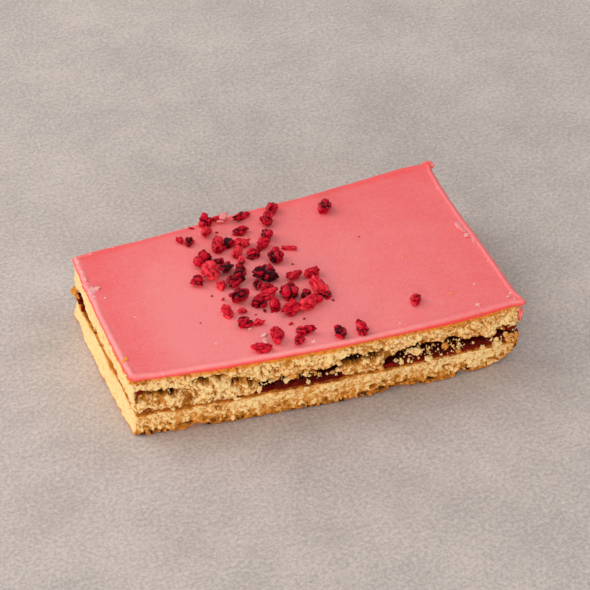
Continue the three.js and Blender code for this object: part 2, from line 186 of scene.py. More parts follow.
# How far the base's foot stands out, by the distance from the left end.
BASE_FOOT = np.array([
    [0, 0.4], [12, 0.5], [17, 0.1], [21, 0.55], [45, 0.6], [58, 0.6], [66, 0.8], [74, 0.3],
    [81, 0.8], [87, 1.2], [92, 0.5], [97, 1.5], [100, 0.9], [104, 0.2], [110, 0.0],
])
# How high the browned crust reaches up the base's front, by the distance from the left end.
BASE_CRUST = np.array([
    [0, 1.0], [12, 1.7], [20, 1.3], [45, 1.1], [60, 1.1], [66, 2.4], [72, 2.0], [80, 1.7],
    [92, 1.7], [97, 1.0], [101, 0.6], [110, 0.6],
])
# Notches of the base's lower edge: distance from the left end, height and half the width.
BASE_NOTCHES = np.array([
    [17, 1.3, 2.2], [46, 0.6, 1.5], [73.5, 1.4, 3.6], [92.5, 0.8, 2.3], [60.5, 0.4, 1.6],
])

# Raspberry bits: middle x and y, length, width, turn of the length from +X in degrees, and
# how bright the bit is from 0 to 1.
BITS = np.array([
    [-25.5, 23.5, 2.8, 2.2, 70, 0.5], [-23, 22, 3.2, 2.6, 30, 0.35],
    [-16, 29, 4, 3.6, 60, 0.45], [-17.5, 24, 4.0, 2.8, 65, 0.7],
    [-12, 29.5, 4, 1.8, -10, 0.7], [-6, 28, 6, 2.6, 25, 0.35],
    [-8, 21.5, 4.6, 2.8, -10, 0.5], [0.5, 23.5, 4.6, 3.8, 75, 0.35],
    [3.5, 28, 4.4, 3.4, 65, 0.4], [18, 23.5, 4.8, 4.0, 80, 0.15],
    [-16, 17, 5.0, 3.8, 75, 0.7], [-13, 17.5, 3.8, 3, 50, 0.1],
    [-22, 12.5, 5.8, 4.8, 60, 0.25], [-9.5, 16, 4.4, 2.8, -15, 0.8],
    [-12, 12.5, 3.6, 2.8, 60, 0.9], [-12, 9, 3, 2.2, 80, 0.9],
    [-8, 10.5, 4.2, 3.2, 0, 0.4], [-18, 11, 3, 2, -20, 0.1],
    [-22, 6, 6, 5.0, 70, 0.95], [-17, 6.5, 4.0, 3.4, 40, 0.0],
    [-26.5, 4.5, 4.4, 3.4, 75, 0.35], [-13.5, 5, 3.8, 3.0, 80, 0.15],
    [-16, 1, 6.2, 3.8, 20, 0.05], [-20.5, 0.5, 3.2, 2.6, 90, 0.75],
    [-1.5, 17, 4.4, 3.4, 60, 0.2], [-4.5, 13.5, 4.6, 3.2, 35, 0.55],
    [-2.5, 7, 5.0, 4.2, 85, 0.35], [2.5, 10, 4.2, 1.4, -25, 0.85],
    [-7.5, 0.5, 6.6, 5.0, -30, 0.0], [-11, -2.5, 3.6, 2.6, 60, 0.2],
    [-9, -4.5, 4, 2.6, 10, 0.4], [-10, -8, 5.8, 3, 0, 0.85],
    [-13, -10, 4.2, 3.8, 20, 0.1], [-17.5, -6, 6, 4, 35, 0.45],
    [-4, -9, 6.0, 5.2, 60, 0.2], [-0.5, -2.5, 4.0, 3.0, 0, 0.6],
    [4.5, -3, 4.2, 3.2, 10, 0.65], [4.5, -9.5, 6.6, 3.8, 95, 0.85],
    [5.5, -13, 3, 2.4, 70, 0.1], [0, -11.5, 3.4, 3.0, 30, 0.1],
    [2.5, -13.5, 3.8, 3, 80, 0.45], [-9.5, -13, 4.2, 3.2, 60, 0.3],
    [-6, -16, 5.4, 4, 30, 0.55], [-1, -15.5, 5.8, 3.8, 20, 1.0],
    [-22.5, -11, 4, 2.8, 110, 0.75], [-18.5, -11.5, 2.8, 1.8, 0, 0.85],
    [-19.5, -17, 4.2, 3, 10, 0.2], [-16, -17.5, 3.2, 2, -10, 0.65],
    [-13, -25.5, 4.8, 3.8, 80, 0.6], [-18.5, -28, 5.6, 3, -10, 0.5],
    [-5, -25.5, 5.4, 2.8, -40, 0.35], [-8, -28.5, 4, 2.6, 40, 0.45],
    [3.5, -29.5, 4.2, 3.6, 85, 0.2], [9.5, -30, 4.8, 3.2, 100, 0.55],
    [27.5, -23.5, 4.4, 2.8, 50, 0.5],
    [-21.8, -4.7, 1.1, 0.8, 30, 0.5], [-12.5, -13.1, 1.3, 1.0, 50, 0.0],
    [-20.5, 28.2, 1.6, 0.7, -20, 0.6], [1.2, 3.2, 0.7, 0.5, 0, 0.3],
    [-18.0, 8.9, 1.6, 1.3, 20, 0.5], [-24.2, -2.2, 0.7, 0.5, 0, 0.4],
    [-14.4, 23.9, 0.8, 0.6, 0, 0.3], [6.6, -15.3, 0.8, 0.6, 40, 0.0],
    [-15.4, -13.8, 0.6, 0.4, 0, 0.8], [-14.0, -17.0, 0.6, 0.4, 0, 0.7],
    [-30.6, -11.9, 0.5, 0.4, 0, 0.3], [-3.5, -20.0, 0.7, 0.5, 10, 0.3],
    [22.8, 8.2, 0.5, 0.4, 0, 0.3], [-7.6, -20.8, 1.5, 0.8, 30, 0.8],
])
# How much longer and wider all of them are made, and the rows and columns of each.
BIT_GROWTH = 1.12
BIT_GRID = (30, 44)
# Balls that make up a bit, and sides on which it is broken off flat.
BIT_BALLS = 7
BIT_BREAKS = 3
# Bits at least this bright and long carry a curl of skin, with these rows and columns.
CURL_BRIGHTNESS = 0.55
CURL_LENGTH = 3.5
CURL_GRID = (14, 36)

# Flakes of pale, chipped icing: middle x, y and height, length, width, turn in degrees, and
# how pale.
ICING_CHIPS = np.array([
    [-54.9, 25.5, 20.7, 3.2, 0.7, 92, 0.45], [-54.95, 21.8, 20.7, 3.6, 0.7, 90, 0.5],
    [-54.9, 18.0, 20.75, 3.6, 0.8, 90, 0.5], [-54.8, 14.4, 20.8, 3.0, 1.0, 90, 0.5],
    [-54.4, 11.2, 20.95, 4.0, 2.2, 80, 0.7], [-53.3, 11.8, 21.05, 2.2, 1.4, 20, 0.9],
    [-54.9, 9.4, 20.7, 2.6, 1.2, 80, 0.45], [-54.8, 27.2, 20.7, 1.5, 1.3, 20, 0.7],
    [52.0, 2.8, 20.95, 5.6, 2.4, 98, 0.32], [51.9, -1.5, 21.0, 2.3, 1.5, 60, 0.75],
    [52.9, -4.3, 20.95, 3.4, 1.3, 70, 0.35], [54.0, -7.2, 20.8, 2.4, 0.8, 80, 0.25],
    [52.7, 16.2, 20.9, 3.0, 0.7, 95, 0.25], [52.8, 12.6, 20.9, 2.0, 0.6, 90, 0.2],
    [52.4, 22.0, 20.9, 1.4, 0.7, 40, 0.3], [-10.6, 28.9, 22.6, 3.4, 1.6, 50, 0.25],
    [-11.6, 28.0, 21.6, 2.6, 1.4, 20, 0.35], [-16.4, -24.8, 21.1, 2.4, 1.2, 80, 1.0],
    [-16.0, -22.6, 21.1, 1.6, 1.1, 10, 1.0], [43.2, -30.7, 21.0, 1.9, 0.7, 20, 0.8],
    [52.2, -30.4, 21.0, 1.4, 0.7, 20, 0.8], [-18.8, -18.8, 21.0, 1.1, 0.6, 0, 0.8],
    [-3.9, -29.4, 21.0, 1.2, 0.7, 40, 0.8],
])
# Patches of white sugar grains on the icing: middle x and y, spread and number of grains.
SUGAR_PATCHES = np.array([
    [-54.9, 25.0, 0.3, 5], [-54.9, 20.5, 0.3, 5], [-54.8, 16.5, 0.3, 5], [-54.0, 11.5, 0.6, 6],
    [-54.4, 8.9, 0.4, 3], [51.8, -1.6, 0.3, 3], [52.8, -14.2, 0.3, 4], [54.3, -19.0, 0.3, 4],
    [53.6, -16.0, 0.2, 2], [53.2, -29.1, 0.4, 4], [52.1, -32.4, 0.5, 6], [53.6, -31.8, 0.4, 4],
    [43.0, -30.8, 0.6, 5], [20.3, -30.5, 0.35, 3], [-4.6, -29.7, 0.5, 4],
    [-18.9, -18.9, 0.4, 3], [-16.0, -23.0, 0.5, 5], [-15.6, -24.8, 0.5, 5],
    [-16.2, -26.6, 0.4, 4], [-29.2, -21.5, 0.2, 2], [-18.9, 24.6, 0.3, 3],
    [-9.9, 23.7, 0.3, 2], [-11.5, 21.4, 0.3, 3], [-10.2, 10.9, 0.25, 3],
    [-10.0, -10.0, 0.25, 2], [-16.6, -29.5, 0.7, 5], [-46.0, -28.0, 0.2, 2],
    [-38.5, -29.0, 0.2, 1], [-44.0, 27.6, 0.3, 2], [-36.0, 28.1, 0.25, 2],
    [-30.0, 28.4, 0.25, 2], [-51.0, 27.0, 0.4, 3],
    [-46.6, -3.3, 0.1, 1], [-52.0, 7.3, 0.1, 1], [45.5, -22.0, 0.1, 1], [30.0, 2.0, 0.1, 1],
])
# Small orange crumbs on the icing: middle x and y, and length.
ICING_CRUMBS = np.array([
    [31.3, -4.4, 0.9], [38.1, -23.8, 1.4], [-54.2, -19.4, 2.0], [-6.4, 19.2, 0.6],
    [27.5, 7.0, 0.4],
])
ICING_CRUMB_HEIGHT = 21.1

# How many crumbs are tried in the torn sides, and how many lie under the rim on the left.
SIDE_CRUMBS = 1700
RIM_CRUMBS = 110
# Rows and columns of each larger lump, chip of icing and smear.
CHUNK_GRID = (20, 30)
CHIP_GRID = (12, 22)
SMEAR_GRID = (14, 20)
# Crumbs that lie on the jam along the front: from and to along it, lowest and highest, and
# their number.
JAM_CRUMBS = np.array([
    [35, 47, 10.6, 12.0, 26], [47, 57, 9.4, 12.0, 16], [57, 60, 9.3, 10.5, 6],
    [72, 79, 8.6, 13.0, 32], [79, 84, 8.8, 13.0, 54], [84, 93, 8.4, 12.6, 62],
    [93, 96, 7.8, 10.0, 12], [96, 104, 8.0, 10.8, 8], [104, 109, 7.4, 11.0, 34],
])
# Larger lumps on the jam and the front: distance from the left end, height, how far out,
# width, height, and how golden.
FRONT_CHUNKS = np.array([
    [28.0, 7.9, 0.2, 2.0, 0.9, 0.0], [10.6, 7.9, 0.2, 1.5, 0.7, 0.1],
    [34.4, 9.6, -0.1, 1.0, 2.0, 0.2], [38.6, 11.4, -0.9, 2.6, 0.9, 0.1],
    [42.6, 11.0, -0.8, 2.4, 0.9, 0.1], [44.0, 12.3, -0.3, 2.2, 2.0, 0.9],
    [47.4, 12.4, -0.2, 1.2, 2.2, 0.2], [48.0, 9.2, 0.0, 1.1, 1.6, 0.0],
    [48.6, 10.9, -0.4, 0.9, 1.3, 0.1], [51.2, 10.7, -0.3, 1.2, 1.2, 0.3],
    [49.8, 11.6, -0.9, 1.9, 0.8, 0.8], [55.0, 10.6, -0.6, 1.4, 0.8, 0.6],
    [56.8, 11.4, -0.1, 1.8, 1.3, 0.3], [58.6, 10.2, 0.1, 2.2, 1.4, 0.2],
    [68.6, 8.9, 0.3, 1.6, 1.4, 0.8], [73.0, 10.0, -0.1, 1.0, 1.8, 0.1],
    [74.6, 9.5, 0.0, 1.0, 1.9, 0.0], [77.2, 12.4, -0.6, 2.0, 1.5, 0.1],
    [79.2, 11.9, -0.5, 2.2, 2.4, 0.2], [82.4, 8.7, 0.2, 2.6, 1.7, 0.1],
    [87.6, 11.3, -0.4, 1.9, 2.1, 1.0], [99.6, 11.4, -0.1, 1.7, 1.4, 0.1],
    [102.6, 8.9, 0.1, 1.1, 1.5, 0.2], [103.0, 7.4, 0.2, 2.2, 1.2, 0.1],
    [98.6, 7.6, 0.1, 1.6, 1.0, 0.2], [105.6, 9.8, 0.2, 1.6, 1.3, 0.7],
    [107.2, 9.3, 0.3, 1.6, 1.5, 0.6], [108.6, 9.0, 0.1, 1.3, 1.2, 0.8],
    [106.4, 7.9, 0.3, 1.8, 1.1, 0.7], [108.2, 7.3, 0.2, 1.6, 1.0, 0.5],
    [109.2, 8.1, -0.1, 1.0, 1.6, 0.9], [101.4, 10.9, -0.5, 2.2, 1.4, 0.9],
    [86.0, 6.8, 0.3, 1.6, 1.0, 0.1], [91.4, 8.4, 0.0, 1.4, 1.2, 0.9],
])
# Lumps in the gap at the back of the left side: middle x, y and height, three sizes, and how
# golden.
LEFT_CHUNKS = np.array([
    [-56.3, 26.2, 10.0, 1.6, 3.4, 2.6, 1.0], [-56.1, 24.6, 9.2, 1.6, 2.4, 1.8, 0.9],
    [-56.0, 27.0, 8.2, 1.6, 2.4, 1.6, 0.6],
])
# Smears of jam on the torn crumb: distance from the left end, height, how far out, half the
# width, half the height.
JAM_SMEARS = np.array([
    [2.2, 14.5, -1.5, 1.7, 1.2], [71.4, 9.4, 0.0, 1.9, 0.6], [107.0, 11.6, -0.3, 1.6, 0.5],
    [109.0, 9.8, -0.4, 0.4, 0.6],
])
# Jam in the gap on the left, and icing that ran down the right end and over the back right
# corner: middle x, y and height, and three sizes.
LEFT_JAM = np.array([[-55.2, 25.4, 8.2, 1.8, 3.6, 2.6], [-54.9, 21.0, 7.9, 1.6, 3.4, 1.8]])
ICING_SMEARS = np.array([
    [55.1, -31.9, 17.2, 1.0, 2.0, 2.8], [55.5, -31.5, 15.4, 0.9, 1.8, 2.4],
    [55.4, -31.8, 13.6, 0.8, 1.4, 1.8], [54.3, 34.0, 20.6, 2.0, 1.5, 1.5],
    [53.2, 34.2, 20.7, 2.4, 1.0, 1.1], [54.8, 32.8, 20.4, 1.0, 2.4, 1.2],
])
# Jam stains on the front's crumb: distance from the left end, height, half the width, half
# the height, and strength.
STAINS = np.array([
    [2.2, 14.7, 2.1, 1.4, 1.2], [0.5, 13.4, 0.9, 2.6, 1.1], [1.5, 8.1, 2.0, 0.6, 1.3],
    [4.2, 8.6, 1.5, 0.8, 1.0], [15.9, 9.5, 0.6, 1.4, 0.75], [10.5, 8.1, 3.0, 0.5, 0.8],
    [24.3, 9.0, 1.1, 1.2, 0.7], [22.5, 8.0, 4.0, 0.5, 0.9], [30.0, 7.9, 3.0, 0.5, 0.8],
    [70.4, 9.6, 2.6, 1.0, 1.2], [63.0, 8.8, 3.0, 0.6, 1.1], [6.6, 9.4, 1.6, 0.8, 0.5],
    [44.5, 12.8, 3.0, 0.6, 0.5], [56.8, 12.6, 1.6, 1.0, 0.6], [97.0, 11.8, 5.0, 0.7, 0.5],
    [50.0, 7.8, 17.0, 0.4, 0.9], [90.0, 7.4, 18.0, 0.4, 0.8], [3.0, 7.2, 3.6, 0.4, 0.6],
    [107.0, 11.8, 3.0, 1.0, 1.0], [12.4, 13.2, 1.0, 0.7, 0.3], [27.4, 8.8, 1.0, 0.8, 0.4],
    [13.6, 2.0, 1.6, 0.7, 0.7],
])

# The stage, in metres: half the floor's width, what the camera looks at, and each light's
# place, width, height and colour. The lights' powers are settings.
FLOOR_HALF = 3.0
LOOK_AT = (0.00542, 0.01398, 0.0)
SENSOR_WIDTH = 36.0
DAYLIGHT = (1.0, 0.99, 0.97)
LIGHTS = {
    "key": ((-0.71, 0.59, 0.60), 0.98, 0.98, DAYLIGHT),
    "fill": ((-0.64, -1.10, 0.27), 1.1, 0.5, DAYLIGHT),
    "top": ((0.4, 0.0, 1.15), 1.4, 1.4, (1.0, 1.0, 1.0)),
}


class SliceSizes(bpy.types.PropertyGroup):
    """Heights and depths of the slice's layers."""

    jam_bottom: FloatProperty(
        name="Jam Bottom", description="Height where the jam starts", default=0.0069,
        unit="LENGTH")
    jam_top: FloatProperty(
        name="Jam Top", description="Height of the jam where it meets the lid",
        default=0.0118, unit="LENGTH")
    lid_top: FloatProperty(
        name="Lid Top", description="Height of the upper pastry", default=0.0196,
        unit="LENGTH")
    icing_top: FloatProperty(
        name="Icing Top", description="Height of the icing's surface", default=0.02095,
        unit="LENGTH")
    curl_height: FloatProperty(
        name="Curl Height", description="How far the right end of the base lifts",
        default=0.0052, unit="LENGTH")
    curl_length: FloatProperty(
        name="Curl Length", description="Length of the base that lifts at the right end",
        default=0.009, unit="LENGTH")


class PastryLook(bpy.types.PropertyGroup):
    """Colours of the baked pastry."""

    pale: FloatVectorProperty(
        name="Pale Crumb", description="Lightest crumb", subtype="COLOR",
        default=(1.0, 0.70, 0.315), min=0, max=1)
    golden: FloatVectorProperty(
        name="Golden Crumb", description="Deeper crumb between the pale grains",
        subtype="COLOR", default=(0.70, 0.27, 0.035), min=0, max=1)
    # Painted shade: the next two colours darken the crumb in shallow and in deep hollows, pores
    # and clefts.
    hollow_shade: FloatVectorProperty(
        name="Amber Hollow", description="Crumb inside shallow hollows", subtype="COLOR",
        default=(0.42, 0.135, 0.008), min=0, max=1)
    deep_hollow_shade: FloatVectorProperty(
        name="Dark Hollow", description="Crumb deep inside hollows", subtype="COLOR",
        default=(0.022, 0.004, 0.001), min=0, max=1)
    crust: FloatVectorProperty(
        name="Browned Crust", description="Browned outer crust", subtype="COLOR",
        default=(0.84, 0.26, 0.018), min=0, max=1)
    stain: FloatVectorProperty(
        name="Jam Stain", description="Crumb soaked with jam", subtype="COLOR",
        default=(0.20, 0.022, 0.004), min=0, max=1)


class JamLook(bpy.types.PropertyGroup):
    """Colours of the jam."""

    # Painted shade: the jam is near-black at its top, in the shade under the lid, and red lower
    # down and where it is thin.
    deep: FloatVectorProperty(
        name="Deep Jam", description="Thick jam", subtype="COLOR",
        default=(0.03, 0.0, 0.0), min=0, max=1)
    thin: FloatVectorProperty(
        name="Thin Jam", description="Thin smears of jam", subtype="COLOR",
        default=(0.32, 0.012, 0.004), min=0, max=1)


class IcingLook(bpy.types.PropertyGroup):
    """Colours of the icing and its sugar."""

    pink: FloatVectorProperty(
        name="Icing", description="Icing near the edges", subtype="COLOR",
        default=(0.95, 0.117, 0.124), min=0, max=1)
    # Painted sheen: a lighter pink laid over the middle of the icing.
    bloom: FloatVectorProperty(
        name="Bloom", description="Lighter icing in the middle", subtype="COLOR",
        default=(1.0, 0.262, 0.268), min=0, max=1)
    # Painted shade: red on the lower bend of the rim; the same red also lines the back edge.
    rim: FloatVectorProperty(
        name="Rim", description="Lower edge of the rim", subtype="COLOR",
        default=(1.0, 0.045, 0.035), min=0, max=1)
    # Also the colour of the painted highlight over the bend of the rim.
    sugar: FloatVectorProperty(
        name="Sugar", description="White sugar grains and chipped icing", subtype="COLOR",
        default=(1.0, 0.52, 0.49), min=0, max=1)


class BerryLook(bpy.types.PropertyGroup):
    """Colours of the dried raspberry."""

    # Painted shade: dark fills the folds and seams, and is also the colour of the darkest bits.
    dark: FloatVectorProperty(
        name="Dark Berry", description="Folds and dark bits", subtype="COLOR",
        default=(0.03, 0.0, 0.003), min=0, max=1)
    crimson: FloatVectorProperty(
        name="Crimson Berry", description="Most of the bits", subtype="COLOR",
        default=(0.60, 0.0, 0.018), min=0, max=1)
    # Partly a painted highlight: bright red on the raised skin of the brighter bits.
    bright: FloatVectorProperty(
        name="Bright Berry", description="Raised skin of the brightest bits",
        subtype="COLOR", default=(0.95, 0.05, 0.07), min=0, max=1)


class StageLook(bpy.types.PropertyGroup):
    """Floor, lights and camera."""

    floor: FloatVectorProperty(
        name="Floor", description="Floor colour", subtype="COLOR",
        default=(0.565, 0.49, 0.455), min=0, max=1)
    key_power: FloatProperty(
        name="Key Power", description="Power of the light behind on the left", default=8.6,
        min=0)
    fill_power: FloatProperty(
        name="Fill Power", description="Power of the low light in front on the left",
        default=10.3, min=0)
    top_power: FloatProperty(
        name="Top Power", description="Power of the light overhead", default=4.7, min=0)
    sky_strength: FloatProperty(
        name="Sky Strength", description="Brightness of the light all round", default=0.3,
        min=0)
    azimuth: FloatProperty(
        name="Camera Azimuth", description="Angle of the camera round the slice",
        default=math.radians(-18.70), subtype="ANGLE")
    elevation: FloatProperty(
        name="Camera Elevation", description="Angle of the camera above the floor",
        default=math.radians(40.18), subtype="ANGLE")
    roll: FloatProperty(
        name="Camera Roll", description="Turn of the picture", default=math.radians(-0.95),
        subtype="ANGLE")
    distance: FloatProperty(
        name="Camera Distance", description="From the camera to the point it looks at",
        default=0.6929, unit="LENGTH")
    lens: FloatProperty(name="Lens", description="Focal length in mm", default=146.4)


SETTINGS = {
    "slice_sizes": SliceSizes,
    "slice_pastry": PastryLook,
    "slice_jam": JamLook,
    "slice_icing": IcingLook,
    "slice_berry": BerryLook,
    "slice_stage": StageLook,
}


# ---------------------------------------------------------------- noise


def smoothstep(value, low, high):
    """0 below low, 1 above high, and the curve 3t^2 - 2t^3 between."""
    t = np.clip((value - low) / (high - low), 0, 1)
    return t * t * (3 - 2 * t)


def lattice(cell, seed):
    """A repeatable value from 0 to 1 for whole-number places: their bits are mixed."""
    mixed = cell[..., 0] * 374761393 + cell[..., 1] * 668265263 + cell[..., 2] * 1440662683
    mixed = (mixed + seed * 974634777) & 0x7FFFFFFF
    mixed = ((mixed ^ (mixed >> 13)) * 1274126177) & 0x7FFFFFFF
    mixed = ((mixed ^ (mixed >> 16)) * 1911520717) & 0x7FFFFFFF
    return (mixed ^ (mixed >> 15)) / 0x7FFFFFFF


def noise(points, size, seed):
    """Smooth noise from -1 to 1: the values at a cell's eight corners, blended."""
    places = points / size
    base = np.floor(places).astype(np.int64)
    t = smoothstep(places - base, 0, 1)
    total = np.zeros(places.shape[:-1])
    for corner in np.ndindex(2, 2, 2):
        weight = np.prod(np.where(np.array(corner) == 1, t, 1 - t), axis=-1)
        total += weight * lattice(base + np.array(corner), seed)
    return 2 * total - 1


def layered_noise(points, size, seed, layers=4):
    """Noise from about -1 to 1 with ever finer layers, each at half the size and strength."""
    parts = [noise(points, size / 2 ** i, seed + i) / 2 ** i for i in range(layers)]
    return sum(parts) / 1.4


def cells(points, size, seed):
    """Cell noise: distances to the nearest and second scattered point, and its value."""
    places = points / size
    base = np.floor(places).astype(np.int64)
    near = np.full(places.shape[:-1], 9.0)
    second = near.copy()
    value = np.zeros_like(near)
    for step in np.ndindex(3, 3, 3):
        cell = base + np.array(step) - 1
        spot = np.stack([lattice(cell, seed + k) for k in range(3)], axis=-1)
        distance = np.linalg.norm(cell + spot - places, axis=-1)
        closer = distance < near
        second = np.where(closer, near, np.minimum(second, distance))
        value = np.where(closer, lattice(cell, seed + 3), value)
        near = np.where(closer, distance, near)
    return near, second, value


def shaken(points, size, amount, seed):
    """Points moved about by smooth noise of a size, by up to an amount."""
    return points + amount * np.stack([noise(points, size, seed + k) for k in range(3)], axis=-1)


def counted(count, seed):
    """A repeatable value from 0 to 1 for each of a row of things."""
    return lattice(np.stack([np.arange(count)] * 3, axis=-1), seed)


def line_at(line, distance):
    """The height of a line of distances and heights, at a distance along it."""
    return np.interp(distance, line[:, 0], line[:, 1])


# ---------------------------------------------------------------- plan


def front_bow(share):
    """How far the front bows out at a share of its length, before the arch: more to the
    right."""
    return FRONT_BOW * (FRONT_BOW_START + FRONT_BOW_GROWTH * share)


class Outline:
    """Columns of points round a layer: each one's side, share of it and distance along it."""

    def __init__(self, counts, left_back, left_bow):
        self.corners = CORNERS - np.array([[0, 0], [0, 0], [0, 0], [left_back, 0]])
        self.left_bow = left_bow
        lengths = np.linalg.norm(np.roll(self.corners, -1, axis=0) - self.corners, axis=1)
        self.side = np.repeat(np.arange(4), counts)
        self.share = np.concatenate([(np.arange(n) + 0.5) / n for n in counts])
        self.along = self.share * lengths[self.side]
        self.to_corner = np.minimum(self.share, 1 - self.share) * lengths[self.side]
        self.count = len(self.side)

    def bow(self):
        """An arch 4t(1 - t) on each side, times that side's bow."""
        bows = [
            front_bow(self.share),
            np.full(self.count, RIGHT_HOLLOW),
            np.zeros(self.count),
            np.full(self.count, self.left_bow),
        ]
        return 4 * self.share * (1 - self.share) * np.choose(self.side, bows)

    def at(self, inset):
        """The plan: straight sides between inset corners, bowed out, with round corners."""
        end = (self.side + 1) % 4
        inset = np.broadcast_to(inset, (self.count,))[:, None]
        start_point = self.corners[self.side] + INWARD[self.side] * inset
        end_point = self.corners[end] + INWARD[end] * inset
        way = end_point - start_point
        out = np.stack([way[:, 1], -way[:, 0]], axis=1)
        out /= np.linalg.norm(out, axis=1, keepdims=True)
        plan = start_point + way * self.share[:, None] + out * self.bow()[:, None]
        near = np.where(self.share < 0.5, self.side, end)
        cut = CORNER_CUT * CORNER_ROUND * np.clip(1 - self.to_corner / CORNER_ROUND, 0, 1) ** 2
        return plan + INWARD[near] * cut[:, None]

    def outward(self):
        """Unit steps out of the plan: the turned tangent, smoothed near the corners."""
        plan = self.at(0.0)
        way = np.roll(plan, -3, axis=0) - np.roll(plan, 3, axis=0)
        out = np.stack([way[:, 1], -way[:, 0]], axis=1)
        return out / np.linalg.norm(out, axis=1, keepdims=True)

    def ring(self, inset, height):
        """One ring of 3-D points at an inset and a height."""
        return np.column_stack([self.at(inset), np.broadcast_to(height, (self.count,))])

    def flat(self):
        """The outline as 3-D points on the floor, as places for noise."""
        return self.ring(0.0, 0.0)

    def by_side(self, *lines):
        """A line's height for each column: one line for each side, by distance along it."""
        heights = np.choose(self.side, [line_at(line, self.along) for line in lines])
        return softened(heights, 4)


def softened(values, reach):
    """Values round a ring, averaged over their neighbours up to a reach."""
    return np.mean([np.roll(values, step) for step in range(-reach, reach + 1)], axis=0)


def level(height):
    """A line that stays at one height."""
    return np.array([[0.0, height], [110.0, height]])


def front_place(along, out, height):
    """Points by distance along the front from its left end, outward step and height: on the
    straight line between its corners, moved out by the arch of its bow and the step."""
    start, end = CORNERS[0], CORNERS[1]
    length = np.linalg.norm(end - start)
    way = (end - start) / length
    share = np.asarray(along) / length
    bow = front_bow(share) * 4 * share * (1 - share)
    plan = start + way * np.asarray(along)[..., None]
    plan = plan + np.array([way[1], -way[0]]) * (bow + out)[..., None]
    return np.concatenate([plan, np.asarray(height)[..., None]], axis=-1)


def closed_grid(rings):
    """Points and faces of a closed solid: a grid of rings from the middle of the underside,
    out and up the side, to the middle of the top, with the first and last drawn to a pole."""
    rings = np.asarray(rings)
    rows, columns = rings.shape[:2]
    poles = np.stack([rings[0].mean(axis=0), rings[-1].mean(axis=0)])
    points = np.concatenate([rings.reshape(-1, 3), poles])
    place = np.arange(rows * columns).reshape(rows, columns)
    low, high = place[:-1], place[1:]
    quads = np.stack(
        [low, np.roll(low, -1, axis=1), np.roll(high, -1, axis=1), high], axis=-1
    ).reshape(-1, 4)
    first, last = place[0], place[-1]
    under = np.stack([np.full(columns, len(points) - 2), np.roll(first, -1), first], axis=-1)
    over = np.stack([np.full(columns, len(points) - 1), last, np.roll(last, -1)], axis=-1)
    return points, quads.tolist() + under.tolist() + over.tolist()


def make_piece(name, points, faces, attributes, material, smooth=True):
    """A mesh object at the origin from points in mm, with point attributes by name, each an
    array or one number for all points."""
    mesh = bpy.data.meshes.new(name)
    mesh.from_pydata(np.asarray(points) * MM, [], faces)
    for key, values in attributes.items():
        layer = mesh.attributes.new(key, "FLOAT", "POINT")
        layer.data.foreach_set(
            "value", np.broadcast_to(values, len(points)).astype(np.float32))
    mesh.polygons.foreach_set("use_smooth", np.full(len(mesh.polygons), smooth))
    mesh.materials.append(bpy.data.materials[material])
    mesh.validate()
    piece = bpy.data.objects.new(name, mesh)
    bpy.context.scene.collection.objects.link(piece)
    return piece


# ---------------------------------------------------------------- materials


class Shader:
    """A material's nodes, added one by one, with inputs given as values or sockets."""

    def __init__(self, name):
        self.material = bpy.data.materials.new(name)
        self.material.use_nodes = True
        self.tree = self.material.node_tree
        self.tree.nodes.clear()
        self.coordinates = self.add("ShaderNodeTexCoord").outputs["Object"]

    def add(self, kind, inputs=None, **settings):
        """A new node with its settings, and its inputs linked or set."""
        node = self.tree.nodes.new(kind)
        for key, value in settings.items():
            setattr(node, key, value)
        for key, value in (inputs or {}).items():
            if isinstance(value, bpy.types.NodeSocket):
                self.tree.links.new(value, node.inputs[key])
            else:
                node.inputs[key].default_value = value
        return node

    def attribute(self, name):
        """A point attribute of the mesh."""
        return self.add("ShaderNodeAttribute", attribute_name=name).outputs["Fac"]

    def math(self, operation, first, second, clamp=False):
        """The result of one operation on two values."""
        node = self.add(
            "ShaderNodeMath", {0: first, 1: second}, operation=operation, use_clamp=clamp)
        return node.outputs[0]

    def total(self, *parts):
        """The sum of pairs of a socket and its weight."""
        scaled = [self.math("MULTIPLY", socket, weight) for socket, weight in parts]
        result = scaled[0]
        for part in scaled[1:]:
            result = self.math("ADD", result, part)
        return result

    def remap(self, value, low, high, to_low=0.0, to_high=1.0):
        """A value stretched from one range to another and held inside it."""
        inputs = {"Value": value, "From Min": low, "From Max": high,
                  "To Min": to_low, "To Max": to_high}
        return self.add("ShaderNodeMapRange", inputs).outputs["Result"]

    def mix(self, share, first, second):
        """A blend of two colours: the second one's share is a value or a socket."""
        first, second = [
            c if isinstance(c, bpy.types.NodeSocket) else (*c, 1.0) for c in (first, second)]
        node = self.add("ShaderNodeMix", {0: share, 6: first, 7: second}, data_type="RGBA")
        return node.outputs[2]

    def grain(self, size_mm, detail=4.0, roughness=0.6):
        """Noise with features of a size."""
        inputs = {"Vector": self.coordinates, "Scale": 1 / (size_mm * MM),
                  "Detail": detail, "Roughness": roughness}
        return self.add("ShaderNodeTexNoise", inputs).outputs["Fac"]

    def spots(self, size_mm):
        """Distance from the middles of cells of a size."""
        inputs = {"Vector": self.coordinates, "Scale": 1 / (size_mm * MM)}
        return self.add("ShaderNodeTexVoronoi", inputs).outputs["Distance"]

    def bump(self, height, strength, distance_mm):
        """A normal bent by a height."""
        inputs = {"Height": height, "Strength": strength, "Distance": distance_mm * MM}
        return self.add("ShaderNodeBump", inputs).outputs["Normal"]

    def surface(self, inputs):
        """Ends the material in a surface with these inputs."""
        principled = self.add("ShaderNodeBsdfPrincipled", inputs)
        output = self.add("ShaderNodeOutputMaterial")
        self.tree.links.new(principled.outputs["BSDF"], output.inputs["Surface"])
        return self.material


